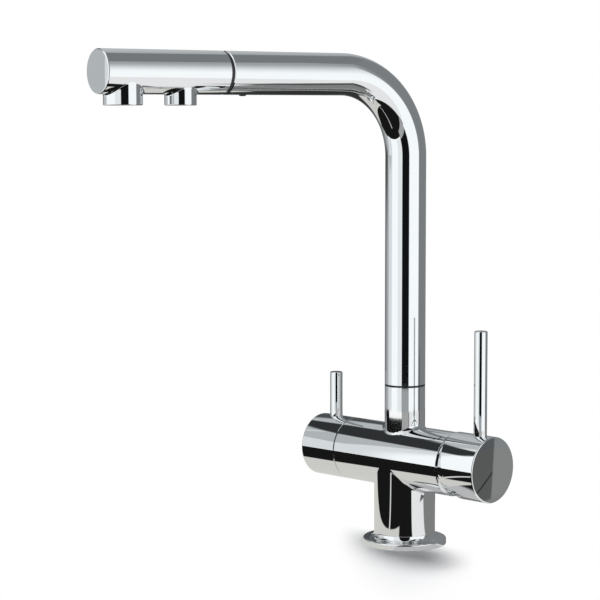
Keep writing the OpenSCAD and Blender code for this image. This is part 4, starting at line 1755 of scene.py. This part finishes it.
@dataclass
class Clamp:
    """What holds the tap below the worktop, and the hose's end ferrule."""

    sides: int = 96
    shank_low: float = -58.0
    shank_top: float = 17.95
    shank_r: float = 16.5
    shank_bore: float = 14.3
    pitch: float = 2.0
    depth: float = 0.9
    crest: float = 0.25
    collar: float = 6.0
    overlap: float = 1.0
    lining: float = 0.001
    washer_r: float = 27.0
    hole_r: float = 16.6
    rubber: tuple[float, float] = (-33.0, -30.0)
    rubber_edge: float = 0.6
    steel: tuple[float, float] = (-35.0, -33.0)
    steel_edge: float = 0.25
    nut: tuple[float, float] = (-43.0, -35.0)
    nut_r: float = 26.0
    nut_play: float = 0.03
    nut_bevel: float = 1.6
    nut_flats_in: float = 0.4
    nut_corners_out: float = 0.5
    nut_faces_out: float = 0.01
    bore_bevel: float = 0.6
    ferrule: tuple[float, float] = (-78.0, -66.0)
    ferrule_sides: int = 64
    ferrule_r: float = 6.1
    ferrule_bore: float = 2.6
    ferrule_y: float = 8.7
    ferrule_low_edge: float = 0.5
    ferrule_top_edge: float = 0.3
    grooves: tuple[float, ...] = (4.0, 8.0)
    groove_sunk: float = 0.45
    groove_floor: float = 0.6
    groove_mouth: float = 1.1

    def build(self) -> None:
        """Makes the shank, both washers, the nut and the ferrule."""
        self._shank()
        for name, span, edge, look, node in (
            ("rubber_disc", self.rubber, self.rubber_edge, RUBBER, "rubber_washer"),
            ("steel_disc", self.steel, self.steel_edge, STEEL, "steel_washer"),
        ):
            outline = ring(self.hole_r, self.washer_r, *span, edge)
            finish(lathe(name, outline, self.sides), Body.TAP, look, node)
        self._nut()
        self._ferrule()

    def _shank(self) -> None:
        """Screws one tooth round the shank, trims it and closes it to a tube."""
        root, half = self.shank_r - self.depth, self.pitch / 2
        start = self.shank_low - self.pitch
        tooth = [(root, 0), (self.shank_r, half - self.crest)]
        tooth += [(self.shank_r, half + self.crest), (root, self.pitch)]
        turns = math.ceil((self.shank_top - start) / self.pitch) + 1
        shank = loop("shank_thread", [(r, z + start) for r, z in tooth])

        def inner(a: Vector, b: Vector) -> bool:
            """Says whether an edge is the one along the shank's inside."""
            return abs((a - b).z) > 1.5 * half * MM and a.x < (root + 0.01) * MM

        choose(shank, Pick.EDGE, inner)
        edit(shank)
        bpy.ops.mesh.delete(type="EDGE_FACE")
        leave()
        modify(
            shank,
            "SCREW",
            screw_offset=self.pitch * MM,
            iterations=turns,
            steps=self.sides,
            render_steps=self.sides,
            use_merge_vertices=True,
            merge_threshold=MERGE,
        )
        clean(shank)
        self._close_shank(shank, self.shank_low, -1)
        self._close_shank(shank, self.shank_top, 1)
        low = self.shank_low + self.collar - self.overlap
        high = self.shank_top - self.collar + self.overlap
        bore, wide = self.shank_bore, self.shank_bore + self.lining
        outline = [(wide, low), (bore, low), (bore, high), (wide, high)]
        lining = lathe("shank_bore", outline, self.sides)
        activate(shank)
        lining.select_set(True)
        bpy.ops.object.join()
        clean(shank, 40)
        finish(shank, Body.TAP, BRASS, "threaded_shank")

    def _close_shank(self, shank: Piece, height: float, up: int) -> None:
        """Cuts one end of the shank flat and leads it into the bore.

        Args:
            shank: The screwed thread.
            height: Where the end is.
            up: 1 for the upper end, -1 for the lower one.
        """
        end = End((0, 0, height), (0, 0, up), self.shank_r)
        end.cut(shank)
        end.choose_rim(shank)
        for inward in (0, self.collar):
            edit(shank)
            extrude()
            leave()
            for vertex in shank.data.vertices:
                if vertex.select:
                    rim = Vector((vertex.co.x, vertex.co.y)).normalized() * self.shank_bore * MM
                    vertex.co = (rim.x, rim.y, (height - up * inward) * MM)

    def _nut(self) -> None:
        """Cuts a hexagon's corners back and bores it."""
        low, high = self.nut
        deselect()
        bpy.ops.mesh.primitive_cylinder_add(
            vertices=6,
            radius=self.nut_r * MM,
            depth=(high - low) * MM,
            location=(0, 0, (low + high) / 2 * MM),
        )
        nut = bpy.context.object
        nut.name = "hex_nut"
        settle(nut)
        flats = self.nut_r * math.cos(math.pi / 6) - self.nut_flats_in
        corners = self.nut_r + self.nut_corners_out
        bore, mouth = self.shank_r + self.nut_play, self.bore_bevel
        below, above = low - self.nut_faces_out, high + self.nut_faces_out
        outline = [(bore + mouth, below), (flats, below), (corners, low + self.nut_bevel)]
        outline += [(corners, high - self.nut_bevel), (flats, above), (bore + mouth, above)]
        outline += [(bore, high - mouth), (bore, low + mouth)]
        carve(nut, lathe("chamfers", outline, self.sides), "INTERSECT")
        clean(nut)
        finish(nut, Body.TAP, BRASS, "mounting_nut")

    def _ferrule(self) -> None:
        """Spins the hose's end ferrule with its two crimped grooves."""
        r, bore, floor = self.ferrule_r, self.ferrule_bore, self.ferrule_r - self.groove_sunk
        low, high = self.ferrule
        outline = [(bore, low), (r - self.ferrule_low_edge, low), (r, low + self.ferrule_low_edge)]
        for groove in (low + up for up in self.grooves):
            outline += [(r, groove - self.groove_mouth), (floor, groove - self.groove_floor)]
            outline += [(floor, groove + self.groove_floor), (r, groove + self.groove_mouth)]
        outline += [(r, high - self.ferrule_top_edge), (r - self.ferrule_top_edge, high)]
        outline += [(bore, high)]
        piece = lathe("crimp", outline, self.ferrule_sides)
        place(piece, (0, 0, 0), (0, self.ferrule_y, 0))
        finish(piece, Body.TAP, BRASS, "hose_end_ferrule")


def dress_nodes() -> None:
    """Gives every CAD node the finish of its slot."""
    slots = {part["node"]: part["material_slot"] for part in frame["record"]["subparts"]}
    for name, node in frame["nodes"].items():
        node.data.materials.clear()
        node.data.materials.append(CAD_FINISHES[slots[name]].make())


def main() -> None:
    """Builds the studio and every sub-assembly in order."""
    logging.basicConfig(level=logging.INFO, format="%(name)s: %(message)s")
    Studio().build()
    dress_nodes()
    for assembly in (Spout(), Casting(), Handles(), Head(), Fittings(), Clamp()):
        assembly.build()
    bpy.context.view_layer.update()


if __name__ == "__main__":
    main()
